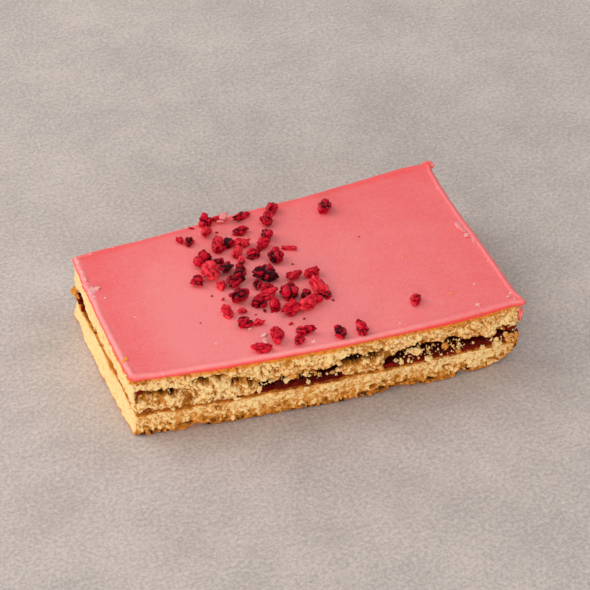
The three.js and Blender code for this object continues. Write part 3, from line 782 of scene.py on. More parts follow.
def pastry_material():
    """Baked crumb: pale grains in golden paste, a browned crust, jam stains, and painted shade in
    pores and hollows: orange-brown where shallow, near-black where deep.
    """
    look = bpy.context.scene.slice_pastry
    shader = Shader("baked_pastry")
    coarse = shader.grain(1.4, 5.0, 0.65)
    grains = shader.spots(0.55)
    fine = shader.grain(0.3, 3.0, 0.6)
    # Painted shade: the pit lowers the crumb's lightness, and below it turns the crumb
    # orange-brown in shallow hollows and near-black in deep ones.
    pit = shader.attribute("pit")
    light = shader.total((coarse, 1.5), (grains, -0.3), (fine, 0.35), (pit, -0.9),
                         (shader.attribute("tone"), 1.0))
    colour = shader.mix(shader.remap(light, 0.53, 0.92), look.golden, look.pale)
    hollow = shader.total((pit, 1.0), (coarse, -0.4), (fine, -0.12), (grains, 0.1))
    browned = shader.math("MULTIPLY", shader.attribute("browned"),
                          shader.remap(coarse, 0.3, 0.62, 0.6, 1.15), clamp=True)
    colour = shader.mix(browned, colour, look.crust)
    colour = shader.mix(shader.remap(hollow, -0.16, 0.26), colour, look.hollow_shade)
    colour = shader.mix(shader.remap(hollow, 0.42, 0.95), colour, look.deep_hollow_shade)
    colour = shader.mix(shader.attribute("stain"), colour, look.stain)
    height = shader.total((coarse, 1.0), (grains, -0.8), (fine, 0.6))
    return shader.surface({
        "Base Color": colour, "Roughness": 0.8, "Specular IOR Level": 0.25,
        "Subsurface Weight": 0.08, "Subsurface Scale": 0.001,
        "Subsurface Radius": (1.0, 0.5, 0.25), "Normal": shader.bump(height, 0.55, 0.25),
    })


def jam_material():
    """Wet jam: near-black as painted shade at its top under the lid, red lower down and where
    thin, with a glossy uneven skin.
    """
    look = bpy.context.scene.slice_jam
    shader = Shader("wet_jam")
    lumps = shader.grain(1.4, 3.0)
    thin = shader.math("ADD", shader.attribute("thin"),
                       shader.remap(lumps, 0.5, 0.7, 0.0, 0.3), clamp=True)
    colour = shader.mix(thin, look.deep, look.thin)
    return shader.surface({
        "Base Color": colour, "Roughness": 0.3, "Specular IOR Level": 0.16,
        "Specular Tint": (1.0, 0.3, 0.2, 1.0),
        "Normal": shader.bump(lumps, 0.9, 0.8),
    })


def icing_material():
    """Set icing: smooth pink with a faint sugar grain and a painted sheen, red painted shade low
    on the rim, a pale painted highlight over its bend, and pale chips.
    """
    look = bpy.context.scene.slice_icing
    shader = Shader("set_icing")
    cloud = shader.grain(9.0, 4.0)
    grain = shader.grain(0.45, 2.0)
    bloom = shader.total((shader.attribute("bloom"), 1.0), (cloud, 0.6), (grain, 1.3),
                         (shader.grain(1.6), 0.5))
    colour = shader.mix(shader.remap(bloom, 1.15, 2.25), look.pink, look.bloom)
    colour = shader.mix(shader.attribute("low_rim"), colour, look.rim)
    # Pale chips have this colour of their own; on the sheet it is a painted highlight over the
    # rim's bend.
    colour = shader.mix(shader.attribute("pale"), colour, look.sugar)
    return shader.surface({
        "Base Color": colour, "Roughness": 0.38, "Specular IOR Level": 0.45,
        "Subsurface Weight": 0.15, "Subsurface Scale": 0.001,
        "Subsurface Radius": (1.0, 0.3, 0.25),
        "Normal": shader.bump(shader.total((grain, 0.4), (shader.grain(3.0), 1.0)), 0.2, 0.2),
    })


def sugar_material():
    """White sugar grains, tinted by the icing under them."""
    shader = Shader("sugar_grain")
    colour = shader.mix(
        shader.grain(0.6), bpy.context.scene.slice_icing.sugar, (0.97, 0.86, 0.80))
    return shader.surface({
        "Base Color": colour, "Roughness": 0.5, "Subsurface Weight": 0.2,
        "Subsurface Scale": 0.0008, "Subsurface Radius": (1.0, 0.6, 0.5),
    })


def berry_material():
    """Dried raspberry: near-black painted shade in the folds, crimson skin, bright red raised
    skin that is partly a painted highlight, a satin shine.
    """
    look = bpy.context.scene.slice_berry
    shader = Shader("dried_raspberry")
    streaks = shader.grain(0.6, 4.0, 0.65)
    value = shader.total(
        (shader.attribute("raised"), 1.0), (streaks, 0.9), (shader.attribute("tone"), 1.0))
    colour = shader.mix(shader.remap(value, 0.88, 1.5), look.dark, look.crimson)
    colour = shader.mix(shader.remap(value, 1.6, 2.35), colour, look.bright)
    return shader.surface({
        "Base Color": colour, "Roughness": 0.24, "Specular IOR Level": 0.26,
        "Specular Tint": (1.0, 0.4, 0.4, 1.0),
        "Normal": shader.bump(shader.grain(0.35, 3.0), 0.4, 0.12),
    })


# ---------------------------------------------------------------- pastry


def lip_height(outline):
    """Lowest height of the lid's edge: torn on three sides, ragged on the left."""
    places = outline.flat()
    ragged = 0.5 * noise(places, 1.9, 31) + 0.35 * noise(places, 0.8, 32)
    hanging = (outline.side == FRONT) & (line_at(FRONT_LIP, outline.along) < 8)
    torn = [
        line_at(FRONT_LIP, outline.along) + ragged * np.where(hanging, 0.3, 1.0),
        LIP_RIGHT + 1.2 * noise(places, 7, 33) + ragged,
        LIP_BACK + 1.9 * noise(places, 9, 34) + ragged,
        line_at(LEFT_LIP, outline.along) + 1.2 * ragged,
    ]
    return np.maximum(LOWEST_LIP, np.choose(outline.side, torn))


def icing_edge(outline):
    """Lowest height of the icing: it sags unevenly over the front and the left."""
    uneven = 0.1 * noise(outline.flat(), 3.0, 91) + 0.08 * noise(outline.flat(), 1.1, 92)
    return uneven + outline.by_side(
        ICING_EDGE, level(ICING_EDGE_RIGHT), level(ICING_EDGE_BACK), level(ICING_EDGE_LEFT))


def crumb_relief(points, torn):
    """Outward relief of broken pastry, and how deep in a pore or cleft each point is: soft
    swells, angular clumps, slanting fibres, sandy grains and round pores. torn, from 0 to 1,
    scales the clumps, clefts and fibres."""
    swell = layered_noise(points, 4.6, 1)
    patch = torn * (0.35 + 0.65 * smoothstep(noise(points, 5.0, 5), -0.5, 0.5))
    near, second, value = cells(shaken(points, 1.2, 0.7, 6), 2.4, 11)
    clump = (value - 0.5) + 0.8 * (0.5 - near)
    cleft = patch * (1 - smoothstep(second - near, 0.0, 0.2)) * smoothstep(value, 0.5, 0.9)
    x, y, z = points.T
    fibre = noise(np.stack([x - z, 3.2 * (x + z), 2.5 * y], axis=-1), 2.4, 7)
    small, _, small_value = cells(shaken(points, 0.6, 0.25, 15), 0.75, 21)
    grain = (small_value - 0.5) + 0.9 * (0.45 - small)
    pore_near, _, pore_value = cells(points, 1.5, 41)
    pore = (pore_value > 0.9 - 0.4 * torn) * (1 - smoothstep(pore_near, 0.08, 0.26))
    relief = (0.2 + 0.3 * torn) * swell + 0.6 * patch * clump + 0.18 * torn * fibre
    relief += (0.16 + 0.26 * torn) * grain - 0.6 * cleft - 0.6 * pore
    # The pit is painted as shade by the pastry's material: darker in clefts and pores, lighter on
    # clumps, fibres and grains.
    pit = 0.7 * cleft + 0.7 * pore - 0.25 * patch * clump - 0.18 * torn * fibre
    pit -= (0.15 + 0.35 * torn) * grain
    return relief, pit


def spots_depth(along, height, spots, power=1.0):
    """The largest of round spots, (1 - r^2) to a power in their own widths and heights,
    times depth. At a power of one half their walls are steep."""
    total = np.zeros_like(along)
    for at, middle, wide, high, deep in spots:
        reach = ((along - at) / wide) ** 2 + ((height - middle) / high) ** 2
        total = np.maximum(total, deep * np.clip(1 - reach, 0, 1) ** power)
    return total


def left_streaks(points, side):
    """Upright streaks of the smooth left side: noise, drawn out along the height."""
    drawn = points * np.array([1.0, 1.0, 0.28])
    streaks = noise(drawn, 1.1, 17) + 0.5 * noise(drawn, 0.5, 18)
    return np.where(side == LEFT, streaks, 0)


def pad(values, rows, before, after, fill=0.0):
    """A wall's attribute with rows of one value put before and after, and two poles."""
    values = values.reshape(rows, -1)
    count = values.shape[1]
    parts = [np.full((before, count), fill), values, np.full((after, count), fill)]
    return np.concatenate([np.concatenate(parts).ravel(), [fill, fill]])


class Wall:
    """The straight side of a layer: rows of points from its low to its high edge, with each
    point's side, distance along it and height above the low edge, and the rings that carry
    the layer in to its middle under and over this side."""

    def __init__(self, outline, low, high, rows, under, over):
        self.outline = outline
        self.rows = rows
        self.under = under
        self.over = over
        share = np.linspace(0, 1, rows)[:, None]
        height = low[None, :] + (high - low)[None, :] * share
        plan = np.broadcast_to(outline.at(0.0), (rows, outline.count, 2))
        self.points = np.concatenate([plan, height[..., None]], axis=-1).reshape(-1, 3)
        self.along = self.spread(outline.along)
        self.side = self.spread(outline.side)
        self.above = self.points[:, 2] - self.spread(low)
        self.streaks = left_streaks(self.points, self.side)

    def spread(self, values):
        """One value for each column, repeated up the rows and flattened."""
        return np.broadcast_to(values, (self.rows, self.outline.count)).ravel()

    def below(self, edge):
        """How far each point lies below an edge's height."""
        return self.spread(edge) - self.points[:, 2]

    def push_out(self, step):
        """Moves the points out of the plan by a step each."""
        shape = (self.rows, self.outline.count, 2)
        out = np.broadcast_to(self.outline.outward(), shape).reshape(-1, 2)
        self.points[:, :2] += out * step[:, None]

    def build(self, name, attributes, fills):
        """A piece of the closed layer. An attribute's fill is its value off the wall."""
        wall = self.points.reshape(self.rows, -1, 3)
        points, faces = closed_grid(self.under + list(wall) + self.over)
        padded = {
            key: pad(values, self.rows, len(self.under), len(self.over), fills.get(key, 0.0))
            for key, values in attributes.items()
        }
        return make_piece(name, points, faces, padded, "baked_pastry")


def lid_front(wall):
    """Outward step and pit of the lid's front: lumps, hollows and the crack. The pit is painted
    shade in the hollows, along the crack and under its shelf, and near-black in the darkest
    holes.
    """
    points, along = wall.points, wall.along
    moved_along = along + 0.6 * noise(points, 1.5, 51) + 0.25 * noise(points, 0.6, 52)
    moved_height = points[:, 2] + 0.45 * noise(points, 1.3, 53) + 0.2 * noise(points, 0.6, 54)
    lumps = spots_depth(moved_along, moved_height, LUMPS)
    hollow = spots_depth(moved_along, moved_height + 0.45, HOLLOWS * HOLLOW_GROWTH, 0.5)
    below = line_at(TORN_CRACK, along) - moved_height
    torn_part = along < TORN_CRACK[-1, 0]
    shelf = 0.7 * smoothstep(below, 0.0, 0.5) * (1 - smoothstep(below, 0.6, 2.6)) * torn_part
    line = np.clip(1 - (below / 0.45) ** 2, 0, 1) * torn_part
    line = line * smoothstep(noise(points, 2.5, 55), -0.5, 0.1)
    front = wall.side == FRONT
    step = np.where(front, lumps - 1.4 * hollow - shelf - 1.2 * line, 0)
    pit = np.where(front, 0.42 * hollow ** 1.4 + 0.7 * line + 0.2 * shelf - 0.15 * lumps, 0)
    # Painted shade: the darkest holes, placed where they are seen, turn near-black.
    dark = spots_depth(along + 0.5 * noise(points, 0.9, 151),
                       points[:, 2] - SEEN_LIFT * step + 0.3 * noise(points, 0.7, 152),
                       HOLE_SHADES)
    dark = smoothstep(dark + 0.35 * noise(points, 0.5, 153), 0.2, 0.6)
    return step, np.maximum(pit, 1.6 * dark * smoothstep(hollow, 0.1, 0.4) * front)


def stained(wall):
    """How far jam has soaked into each point of the front, from 0 to 1."""
    points = wall.points
    moved_along = wall.along + 0.5 * noise(points, 1.2, 57)
    moved_height = points[:, 2] + 0.3 * noise(points, 0.9, 58)
    stain = spots_depth(moved_along, moved_height, STAINS) * (wall.side == FRONT)
    return smoothstep(stain + 0.5 * noise(points, 0.6, 59), 0.3, 1.0)


def lifted(x):
    """How far the underside of the base has curled up at the right end: a rising parabola."""
    sizes = bpy.context.scene.slice_sizes
    length = sizes.curl_length / MM
    share = np.clip((x - CORNERS[1, 0] + length) / length, 0, 1)
    return sizes.curl_height / MM * share ** 2


def base_edges(outline):
    """Lowest and highest heights of the base's side: curled up on the right, with notches
    in the front's lower edge, and uneven along the upper one."""
    edge = outline.at(0.0)
    notch = sum(
        high * np.exp(-((outline.along - at) / wide) ** 2) for at, high, wide in BASE_NOTCHES)
    ragged = 0.36 + 0.2 * noise(outline.flat(), 1.4, 61)
    low = lifted(edge[:, 0]) + ragged + np.where(outline.side == FRONT, notch, 0)
    high = np.choose(outline.side, [
        line_at(BASE_EDGE, outline.along),
        BASE_TOP_RIGHT - 1.7 * smoothstep(-edge[:, 1], 5, 30),
        np.full(outline.count, BASE_TOP_BACK),
        line_at(LEFT_BASE_EDGE, outline.along),
    ])
    uneven = np.where(outline.side == LEFT, 0.35, 0.15)
    high = softened(high, 5) + uneven * noise(outline.flat(), 1.5, 70)
    return low, np.maximum(high, low + 0.8)


def base_relief(wall, lower, below):
    """Outward step and pit of the base's side: crumb relief, more torn in its lower part,
    hollows and a foot along the front, rounded edges and a left side that leans in."""
    points, side, above = wall.points, wall.side, wall.above
    front = side == FRONT
    torn = np.choose(side, [0.28 + 0.4 * lower, 0.3 + 0.3 * lower, 0.3 + 0.3 * lower, 0.12])
    relief, pit = crumb_relief(points, torn)
    hollow = front * spots_depth(
        wall.along + 0.5 * noise(points, 1.3, 62),
        points[:, 2] + 0.3 * noise(points, 1.1, 63), BASE_HOLLOWS, 0.5)
    foot = front * line_at(BASE_FOOT, wall.along) * np.exp(-(above / 1.6) ** 2)
    rounding = 0.15 * np.exp(-above / 0.25) + 0.25 * np.exp(-below / 0.3) - foot
    slope = np.where(side == LEFT, 0.4 - 1.0 * np.clip(above / 7, 0, 1), 0)
    swell = 0.4 * noise(points, 7.0, 64)
    # The hollows add to the pit, which the material paints as shade.
    return relief - hollow - rounding + slope + swell + 0.14 * wall.streaks, pit + 0.6 * hollow


def base_look(wall, lower, below, pit):
    """How browned, pitted, light and stained the base's side is: browned along its lower and
    upper edges, with pores painted dark as shade low on the cut sides, and uneven darker spots
    over their browned crust."""
    points, side = wall.points, wall.side
    cut = side != LEFT
    rough = noise(points, 1.6, 65) + 0.5 * noise(points, 0.7, 68)
    low_crust = np.choose(side, [line_at(BASE_CRUST, wall.along), 1.2, 1.5, 0.8])
    browned = smoothstep(wall.above + 0.7 * rough, low_crust, 0.3 * low_crust)
    browned = np.maximum(browned, 0.8 * smoothstep(below, 0.6, 0.1))
    # Painted shade: pores drawn as dark spots low on the cut sides.
    pores = 0.95 * smoothstep(wall.above, 3.6, 0.8) * smoothstep(
        noise(points, 0.9, 66), 0.2, 0.6) * cut
    # Uneven darker spots over the browned crust of the cut sides, through the pit.
    crust_darkening = browned * cut * (0.4 + 0.5 * noise(points, 0.8, 69))
    tone = 0.2 * noise(points, 6.0, 67) + 0.12 * wall.streaks + np.where(
        side == LEFT, 0.48, 0.04 - 0.14 * lower)
    return {"browned": browned, "pit": pit + pores + crust_darkening, "tone": tone,
            "stain": stained(wall)}


def lid_look(wall, pit, edge):
    """How browned, pitted, light and stained the lid's side is: browned under the icing's
    edge and along its own lower edge at the front."""
    points, side = wall.points, wall.side
    rough = noise(points, 1.7, 71) + 0.4 * noise(points, 0.7, 73)
    strength = np.choose(side, [0.7 + 0.3 * smoothstep(wall.along, 2, 36), 0.9, 0.9, 0.85])
    reach = np.where(side == LEFT, 0.5, 1.2)
    browned = strength * smoothstep(wall.below(edge) + 0.35 * rough, reach, 0.25 * reach)
    low = 0.6 * smoothstep(wall.above + 0.3 * rough, 0.8, 0.1) * (side == FRONT)
    tone = 0.2 * noise(points, 6.0, 72) + 0.12 * wall.streaks + np.where(
        side == LEFT, 0.45, 0.05)
    # Painted shade: the pit rises just above the lid's lower edge, under its overhang.
    return {"browned": np.clip(np.maximum(browned, low), 0, 1),
            "pit": pit + 0.3 * np.exp(-wall.above / 0.4), "tone": tone,
            "stain": stained(wall)}


class PieceMaker:
    """Shared by the operators: what each one builds rides on the slice's body."""

    bl_options = {"REGISTER", "UNDO"}

    def finish_piece(self, piece, slot, *nodes):
        """Names the body and the nodes of the solids that a piece belongs to. The slot is not
        used.
        """
        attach(piece, "root")
        if nodes:
            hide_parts(*nodes)
        return {"FINISHED"}


class SLICE_OT_bottom_pastry(PieceMaker, bpy.types.Operator):
    """Build the lower pastry: flat underneath, curled up at the right end, torn at the side"""

    bl_idname = "slice.bottom_pastry"
    bl_label = "Lower Pastry"

    def execute(self, context):
        outline = Outline(PASTRY_COLUMNS, **BASE_LEFT)
        low, high = base_edges(outline)
        under = [outline.ring(inset, lifted(outline.at(inset)[:, 0]))
                 for inset in (26, 18, 12, 8, 5.5, 3.5, 2, 1.2)]
        over = [outline.ring(inset, high + 0.05) for inset in (0.9, 2.5, 6, 20)]
        wall = Wall(outline, low, high, BASE_ROWS, under, over)
        below = wall.below(high)
        lower = smoothstep(wall.above, 4.2, 1.6) * np.where(
            wall.side == FRONT, 1 - 0.8 * smoothstep(wall.along, 92, 100), 1)
        step, pit = base_relief(wall, lower, below)
        wall.push_out(step)
        # The look is worked out from where the points have come to lie.
        # Off the wall, the underside and the top are browned and darker in tone, with a little
        # painted shade through the pit.
        piece = wall.build("lower_pastry", base_look(wall, lower, below, pit),
                           {"browned": 0.9, "pit": 0.15, "tone": -0.2})
        return self.finish_piece(piece, "pastry_base", "bottom_pastry")


class SLICE_OT_jam(PieceMaker, bpy.types.Operator):
    """Build the jam between the pastry layers, set back from the cut sides"""

    bl_idname = "slice.jam"
    bl_label = "Jam"

    def execute(self, context):
        sizes = context.scene.slice_sizes
        low, top = sizes.jam_bottom / MM, sizes.jam_top / MM
        outline = Outline(JAM_COLUMNS, **ICING_LEFT)
        lip = lip_height(outline)
        lowest = np.min([np.roll(lip, step) for step in range(-6, 7)], axis=0)
        places = outline.flat()
        edge = JAM_EDGE + 0.5 * noise(places, 6, 68) + 0.3 * noise(places, 1.6, 69)
        edge = np.maximum(np.minimum(edge, lowest - 0.1), low + 0.9)
        covered = smoothstep(lowest, 9.6, 8.4)
        share = np.linspace(0, 1, JAM_ROWS)[:, None]
        height = low + (edge - low)[None, :] * share
        bulge = 0.7 * np.sqrt(np.clip(1 - (2 * share - 1) ** 2, 0, 1)) + 0.4 * (1 - share)
        inset = np.where(outline.side == LEFT, 1.6, 1.5 - 0.2 * covered)
        shape = (JAM_ROWS, outline.count, 2)
        plan = np.broadcast_to(outline.at(inset), shape)
        points = np.concatenate([plan, height[..., None]], axis=-1)
        lumps = 0.4 * noise(points, 3.2, 61) + 0.25 * noise(points, 1.2, 62)
        step = bulge * (1 - 0.7 * covered) + lumps * (1 - 0.6 * covered)
        points[..., :2] += np.broadcast_to(outline.outward(), shape) * step[..., None]
        under = [outline.ring(20, low), outline.ring(4, low)]
        over = [
            outline.ring(inset + 0.6, edge + 0.15), outline.ring(4.2, edge + 0.3),
            outline.ring(6.4, top), outline.ring(20, top),
        ]
        mesh_points, faces = closed_grid(under + list(points) + over)
        # Painted shade: the upper rows stay near-black under the lid; the lowest rows, the thin
        # line under the low lid and the left side are red.
        thin = np.maximum(0.9 * (1 - share) ** 2, 0.7 * covered)
        thin = np.maximum(thin, np.where(outline.side == LEFT, 0.9, 0.0))
        attributes = {"thin": pad(thin, JAM_ROWS, len(under), len(over))}
        piece = make_piece("jam_layer", mesh_points, faces, attributes, "wet_jam")
        return self.finish_piece(piece, "raspberry_jam", "jam")


class SLICE_OT_top_pastry(PieceMaker, bpy.types.Operator):
    """Build the upper pastry: torn and hollowed along the front, browned under the icing"""

    bl_idname = "slice.top_pastry"
    bl_label = "Upper Pastry"

    def execute(self, context):
        top = context.scene.slice_sizes.lid_top / MM
        outline = Outline(PASTRY_COLUMNS, **LID_LEFT)
        lip = lip_height(outline)
        under = [
            outline.ring(20, LID_UNDERSIDE), outline.ring(5.8, LID_UNDERSIDE),
            outline.ring(3.6, np.maximum(lip, (lip + LID_UNDERSIDE) / 2)),
            outline.ring(1.9, lip + 0.15), outline.ring(1.1, lip + 0.05),
        ]
        over = [outline.ring(inset, top) for inset in (0.9, 3, 20)]
        wall = Wall(outline, lip, np.full(outline.count, top), LID_ROWS, under, over)
        relief, pit = crumb_relief(wall.points, np.choose(wall.side, [0.8, 0.75, 0.6, 0.12]))
        step, front_pit = lid_front(wall)
        tuck = 0.35 * np.exp(-wall.above / 0.5)
        wall.push_out(relief + step - tuck + 0.1 + 0.12 * wall.streaks)
        look = lid_look(wall, pit + front_pit, icing_edge(outline))
        # Painted shade: the lid's underside over the jam, and its hidden top, take a pit of 0.6.
        piece = wall.build("upper_pastry", look, {"pit": 0.6})
        return self.finish_piece(piece, "pastry_lid", "top_pastry")


# ---------------------------------------------------------------- icing


def rim_overhang(outline):
    """How far the icing hangs out: uneven, with a drip at the front-right corner and a
    folded blob at the back-right one."""
    plan = outline.flat()
    overhang = outline.by_side(FRONT_RIM, RIGHT_RIM, BACK_RIM, LEFT_RIM)
    overhang = overhang + 0.08 * noise(plan, 6, 81) + 0.08 * noise(plan, 2, 82)
    to_drip = np.hypot(plan[:, 0] - CORNERS[1, 0], plan[:, 1] - CORNERS[1, 1])
    to_blob = np.hypot(plan[:, 0] - CORNERS[2, 0], plan[:, 1] - CORNERS[2, 1])
    chipped = (outline.side == LEFT) * smoothstep(plan[:, 1], 4, 8)
    overhang = overhang + chipped * 0.3 * noise(plan, 1.2, 83)
    return overhang + 1.1 * np.exp(-(to_drip / 2.0) ** 2) + 0.7 * np.exp(-(to_blob / 1.8) ** 2)


def coons_patch(border, counts):
    """Points of a four-sided patch from its border: the two ways of blending opposite sides,
    added, less the blend of the four corners."""
    wide, deep = counts
    front = border[:wide + 1]
    right = border[wide:wide + deep + 1]
    back = border[wide + deep:2 * wide + deep + 1][::-1]
    left = np.concatenate([border[2 * wide + deep:], border[:1]])[::-1]
    a = np.linspace(0, 1, wide + 1)[:, None, None]
    b = np.linspace(0, 1, deep + 1)[None, :, None]
    across = (1 - b) * front[:, None] + b * back[:, None]
    along = (1 - a) * left[None, :] + a * right[None, :]
    corners = ((1 - a) * (1 - b) * front[0] + a * (1 - b) * front[-1]
               + (1 - a) * b * back[0] + a * b * back[-1])
    return across + along - corners


def icing_tones(points, inward, below):
    """How much painted sheen, painted shade and painted highlight the icing has: a painted sheen
    lightest in the middle left, a pale painted highlight over the bend of the rim, and red
    painted shade under it, with red also along the back edge."""
    x, y = points[:, 0], points[:, 1]
    back = 30.5 + 0.057 * x - y
    bloom = (0.35 + 0.65 * smoothstep(x, -53.5, -34)) * (1 - 0.55 * smoothstep(x, -15, 52))
    bloom = bloom * (0.55 + 0.45 * smoothstep(back, 0, 28))
    place = inward - below
    front = smoothstep(-30.5 - 0.053 * x - y, -4, -1)
    streaks = 0.75 + 0.35 * noise(points, 5.0, 97) + 0.2 * noise(points, 1.2, 99)
    left = smoothstep(x, -48, -52)
    wide = 0.75 + 0.35 * left
    # Painted highlight: a pale streaky strip over the bend of the rim, strongest at the front and
    # on the left.
    rim_highlight = np.exp(-((place - 0.4 - 0.5 * left) / wide) ** 2) * streaks * (
        0.22 + 0.12 * np.maximum(front, left))
    # Painted shade: red low on the rim's bend; also red along the back edge.
    low_rim = np.maximum(0.9 * smoothstep(-place, -0.5, 0.9), 0.45 * smoothstep(back, 3.0, 0.5))
    return bloom, low_rim, np.clip(rim_highlight, 0, 1)


def rim_bead(points, inward):
    """How far the rim stands up as a soft bead, most along the right half: a bell over the
    distance in from its edge."""
    size = 0.12 + 0.2 * smoothstep(points[..., 0], -10, 30) + 0.06 * noise(points, 6.0, 98)
    return size * np.exp(-((inward - 1.1) / 0.8) ** 2)


def rim_rings(outline, top):
    """Rings up the icing's rim and each one's distance in from its edge: an arc of the
    half-height and the softness, from under the edge over to the flat top, made uneven."""
    overhang = rim_overhang(outline)
    drape = icing_edge(outline)
    middle, half = (drape + top) / 2, (top - drape) / 2
    turn = np.linspace(-0.35 * math.pi, 0.5 * math.pi, RIM_ROWS)
    inward = RIM_SOFTNESS * (1 - np.cos(turn))
    rings = np.array([
        outline.ring(step - overhang, middle + half * math.sin(angle))
        for step, angle in zip(inward, turn)
    ])
    bell = np.sin(np.linspace(0, math.pi, RIM_ROWS))[:, None]
    rings[..., 2] += bell * (0.06 * noise(rings, 4, 93) + 0.04 * noise(rings, 1.3, 94))
    rings[..., 2] += rim_bead(rings, inward[:, None]) * (turn[:, None] > 0)
    return rings, inward


def sheet_faces(wide, deep, border_start, inner_start):
    """Faces of the flat top: a grid whose border is the rim's last ring, counter-clockwise
    from the front left, and whose inner points follow in rows."""
    index = np.zeros((wide + 1, deep + 1), dtype=int)
    index[:, 0] = border_start + np.arange(wide + 1)
    index[-1, :] = border_start + wide + np.arange(deep + 1)
    index[::-1, -1] = border_start + wide + deep + np.arange(wide + 1)
    index[0, ::-1] = border_start + (2 * wide + deep + np.arange(deep + 1)) % (
        2 * (wide + deep))
    inner = np.arange((wide - 1) * (deep - 1)).reshape(wide - 1, deep - 1)
    index[1:-1, 1:-1] = inner_start + inner
    quads = np.stack(
        [index[:-1, :-1], index[1:, :-1], index[1:, 1:], index[:-1, 1:]], axis=-1)
    return quads.reshape(-1, 4).tolist()


class SLICE_OT_icing(PieceMaker, bpy.types.Operator):
    """Build the icing: a flat sheet with a soft rounded rim that hangs over the pastry"""

    bl_idname = "slice.icing"
    bl_label = "Icing"

    def execute(self, context):
        sizes = context.scene.slice_sizes
        lid, top = sizes.lid_top / MM, sizes.icing_top / MM
        wide, deep = ICING_COLUMNS[:2]
        outline = Outline(ICING_COLUMNS, **ICING_LEFT)
        rings, ring_inward = rim_rings(outline, top)
        under = [outline.ring(inset, lid - 0.1) for inset in (20, 1.2)]
        points, faces = closed_grid(under + list(rings))
        # The flat top takes the place of the upper pole and its faces.
        points, faces = points[:-1], faces[:-outline.count]
        flat = coons_patch(rings[-1], (wide, deep))[1:-1, 1:-1].reshape(-1, 3)
        a, b = np.meshgrid(np.arange(1, wide), np.arange(1, deep), indexing="ij")
        steps_in = np.minimum(np.minimum(a, wide - a), np.minimum(b, deep - b)).ravel()
        waves = 0.06 * noise(flat, 14, 95) + 0.03 * noise(flat, 5, 96)
        flat_inward = RIM_SOFTNESS + 0.42 * steps_in
        flat[:, 2] = top + waves * smoothstep(steps_in, 0, 14) + rim_bead(flat, flat_inward)
        last_ring = (len(under) + RIM_ROWS - 1) * outline.count
        faces += sheet_faces(wide, deep, last_ring, len(points))
        inward = np.concatenate([
            np.full(len(under) * outline.count, -2.0), np.repeat(ring_inward, outline.count),
            [-2.0], flat_inward])
        points = np.concatenate([points, flat])
        # Painted sheen, painted shade low on the rim and a painted highlight over its bend.
        bloom, low_rim, pale = icing_tones(points, inward, top - points[:, 2])
        attributes = {"bloom": bloom, "low_rim": low_rim, "pale": pale}
        piece = make_piece("icing_sheet", points, faces, attributes, "set_icing")
        return self.finish_piece(piece, "pink_icing", "icing")


# ---------------------------------------------------------------- bits and crumbs


def unit_ball(rows, columns):
    """Directions of a ball's grid with its two poles, and the faces of one closed ball."""
    polar = np.linspace(0, math.pi, rows + 2)[1:-1, None]
    turn = np.linspace(0, 2 * math.pi, columns, endpoint=False)[None, :]
    rings = np.stack(
        [np.sin(polar) * np.cos(turn), np.sin(polar) * np.sin(turn),
         -np.cos(polar) * np.ones_like(turn)], axis=-1)
    points, faces = closed_grid(rings)
    points[-2:] = [[0, 0, -1], [0, 0, 1]]
    return points, faces


def turned(points, turn, tilt, lean):
    """Points turned about X by tilt, about Y by lean, and then about Z by turn."""
    x, y, z = np.moveaxis(points, -1, 0)
    y, z = y * np.cos(tilt) - z * np.sin(tilt), y * np.sin(tilt) + z * np.cos(tilt)
    x, z = x * np.cos(lean) + z * np.sin(lean), -x * np.sin(lean) + z * np.cos(lean)
    x, y = x * np.cos(turn) - y * np.sin(turn), x * np.sin(turn) + y * np.cos(turn)
    return np.stack([x, y, z], axis=-1)


def many_faces(faces, points_each, count):
    """The faces of one piece, repeated for count copies with points_each points."""
    return [[i + k * points_each for i in face] for k in range(count) for face in faces]


def random_directions(count, each, seed):
    """Repeatable unit steps: each of them for count things, spread evenly over a ball."""
    height = 2 * counted(count * each, seed) - 1
    turn = 2 * math.pi * counted(count * each, seed + 1)
    flat = np.sqrt(1 - height ** 2)
    steps = np.stack([flat * np.cos(turn), flat * np.sin(turn), height], axis=-1)
    return steps.reshape(count, each, 3)


def lobed_radius(directions, centres, radii):
    """Distance out of a cluster of balls along each direction, d.c + sqrt(r^2 - |c|^2 +
    (d.c)^2) of the farthest ball, and how far the second one is behind it."""
    along = directions @ np.swapaxes(centres, 1, 2)
    inside = radii[:, None] ** 2 - np.sum(centres ** 2, axis=-1)[:, None] + along ** 2
    reach = np.where(inside > 0, along + np.sqrt(np.maximum(inside, 0)), 0)
    ordered = np.sort(reach, axis=-1)
    return ordered[..., -1], ordered[..., -1] - ordered[..., -2]


def fitted(points, length, width, height):
    """Shapes scaled to a length, width and height each, about their own middles."""
    low = points.min(axis=1, keepdims=True)
    high = points.max(axis=1, keepdims=True)
    sizes = np.stack([length, width, height], axis=-1)[:, None]
    return (points - (low + high) / 2) / (high - low) * sizes


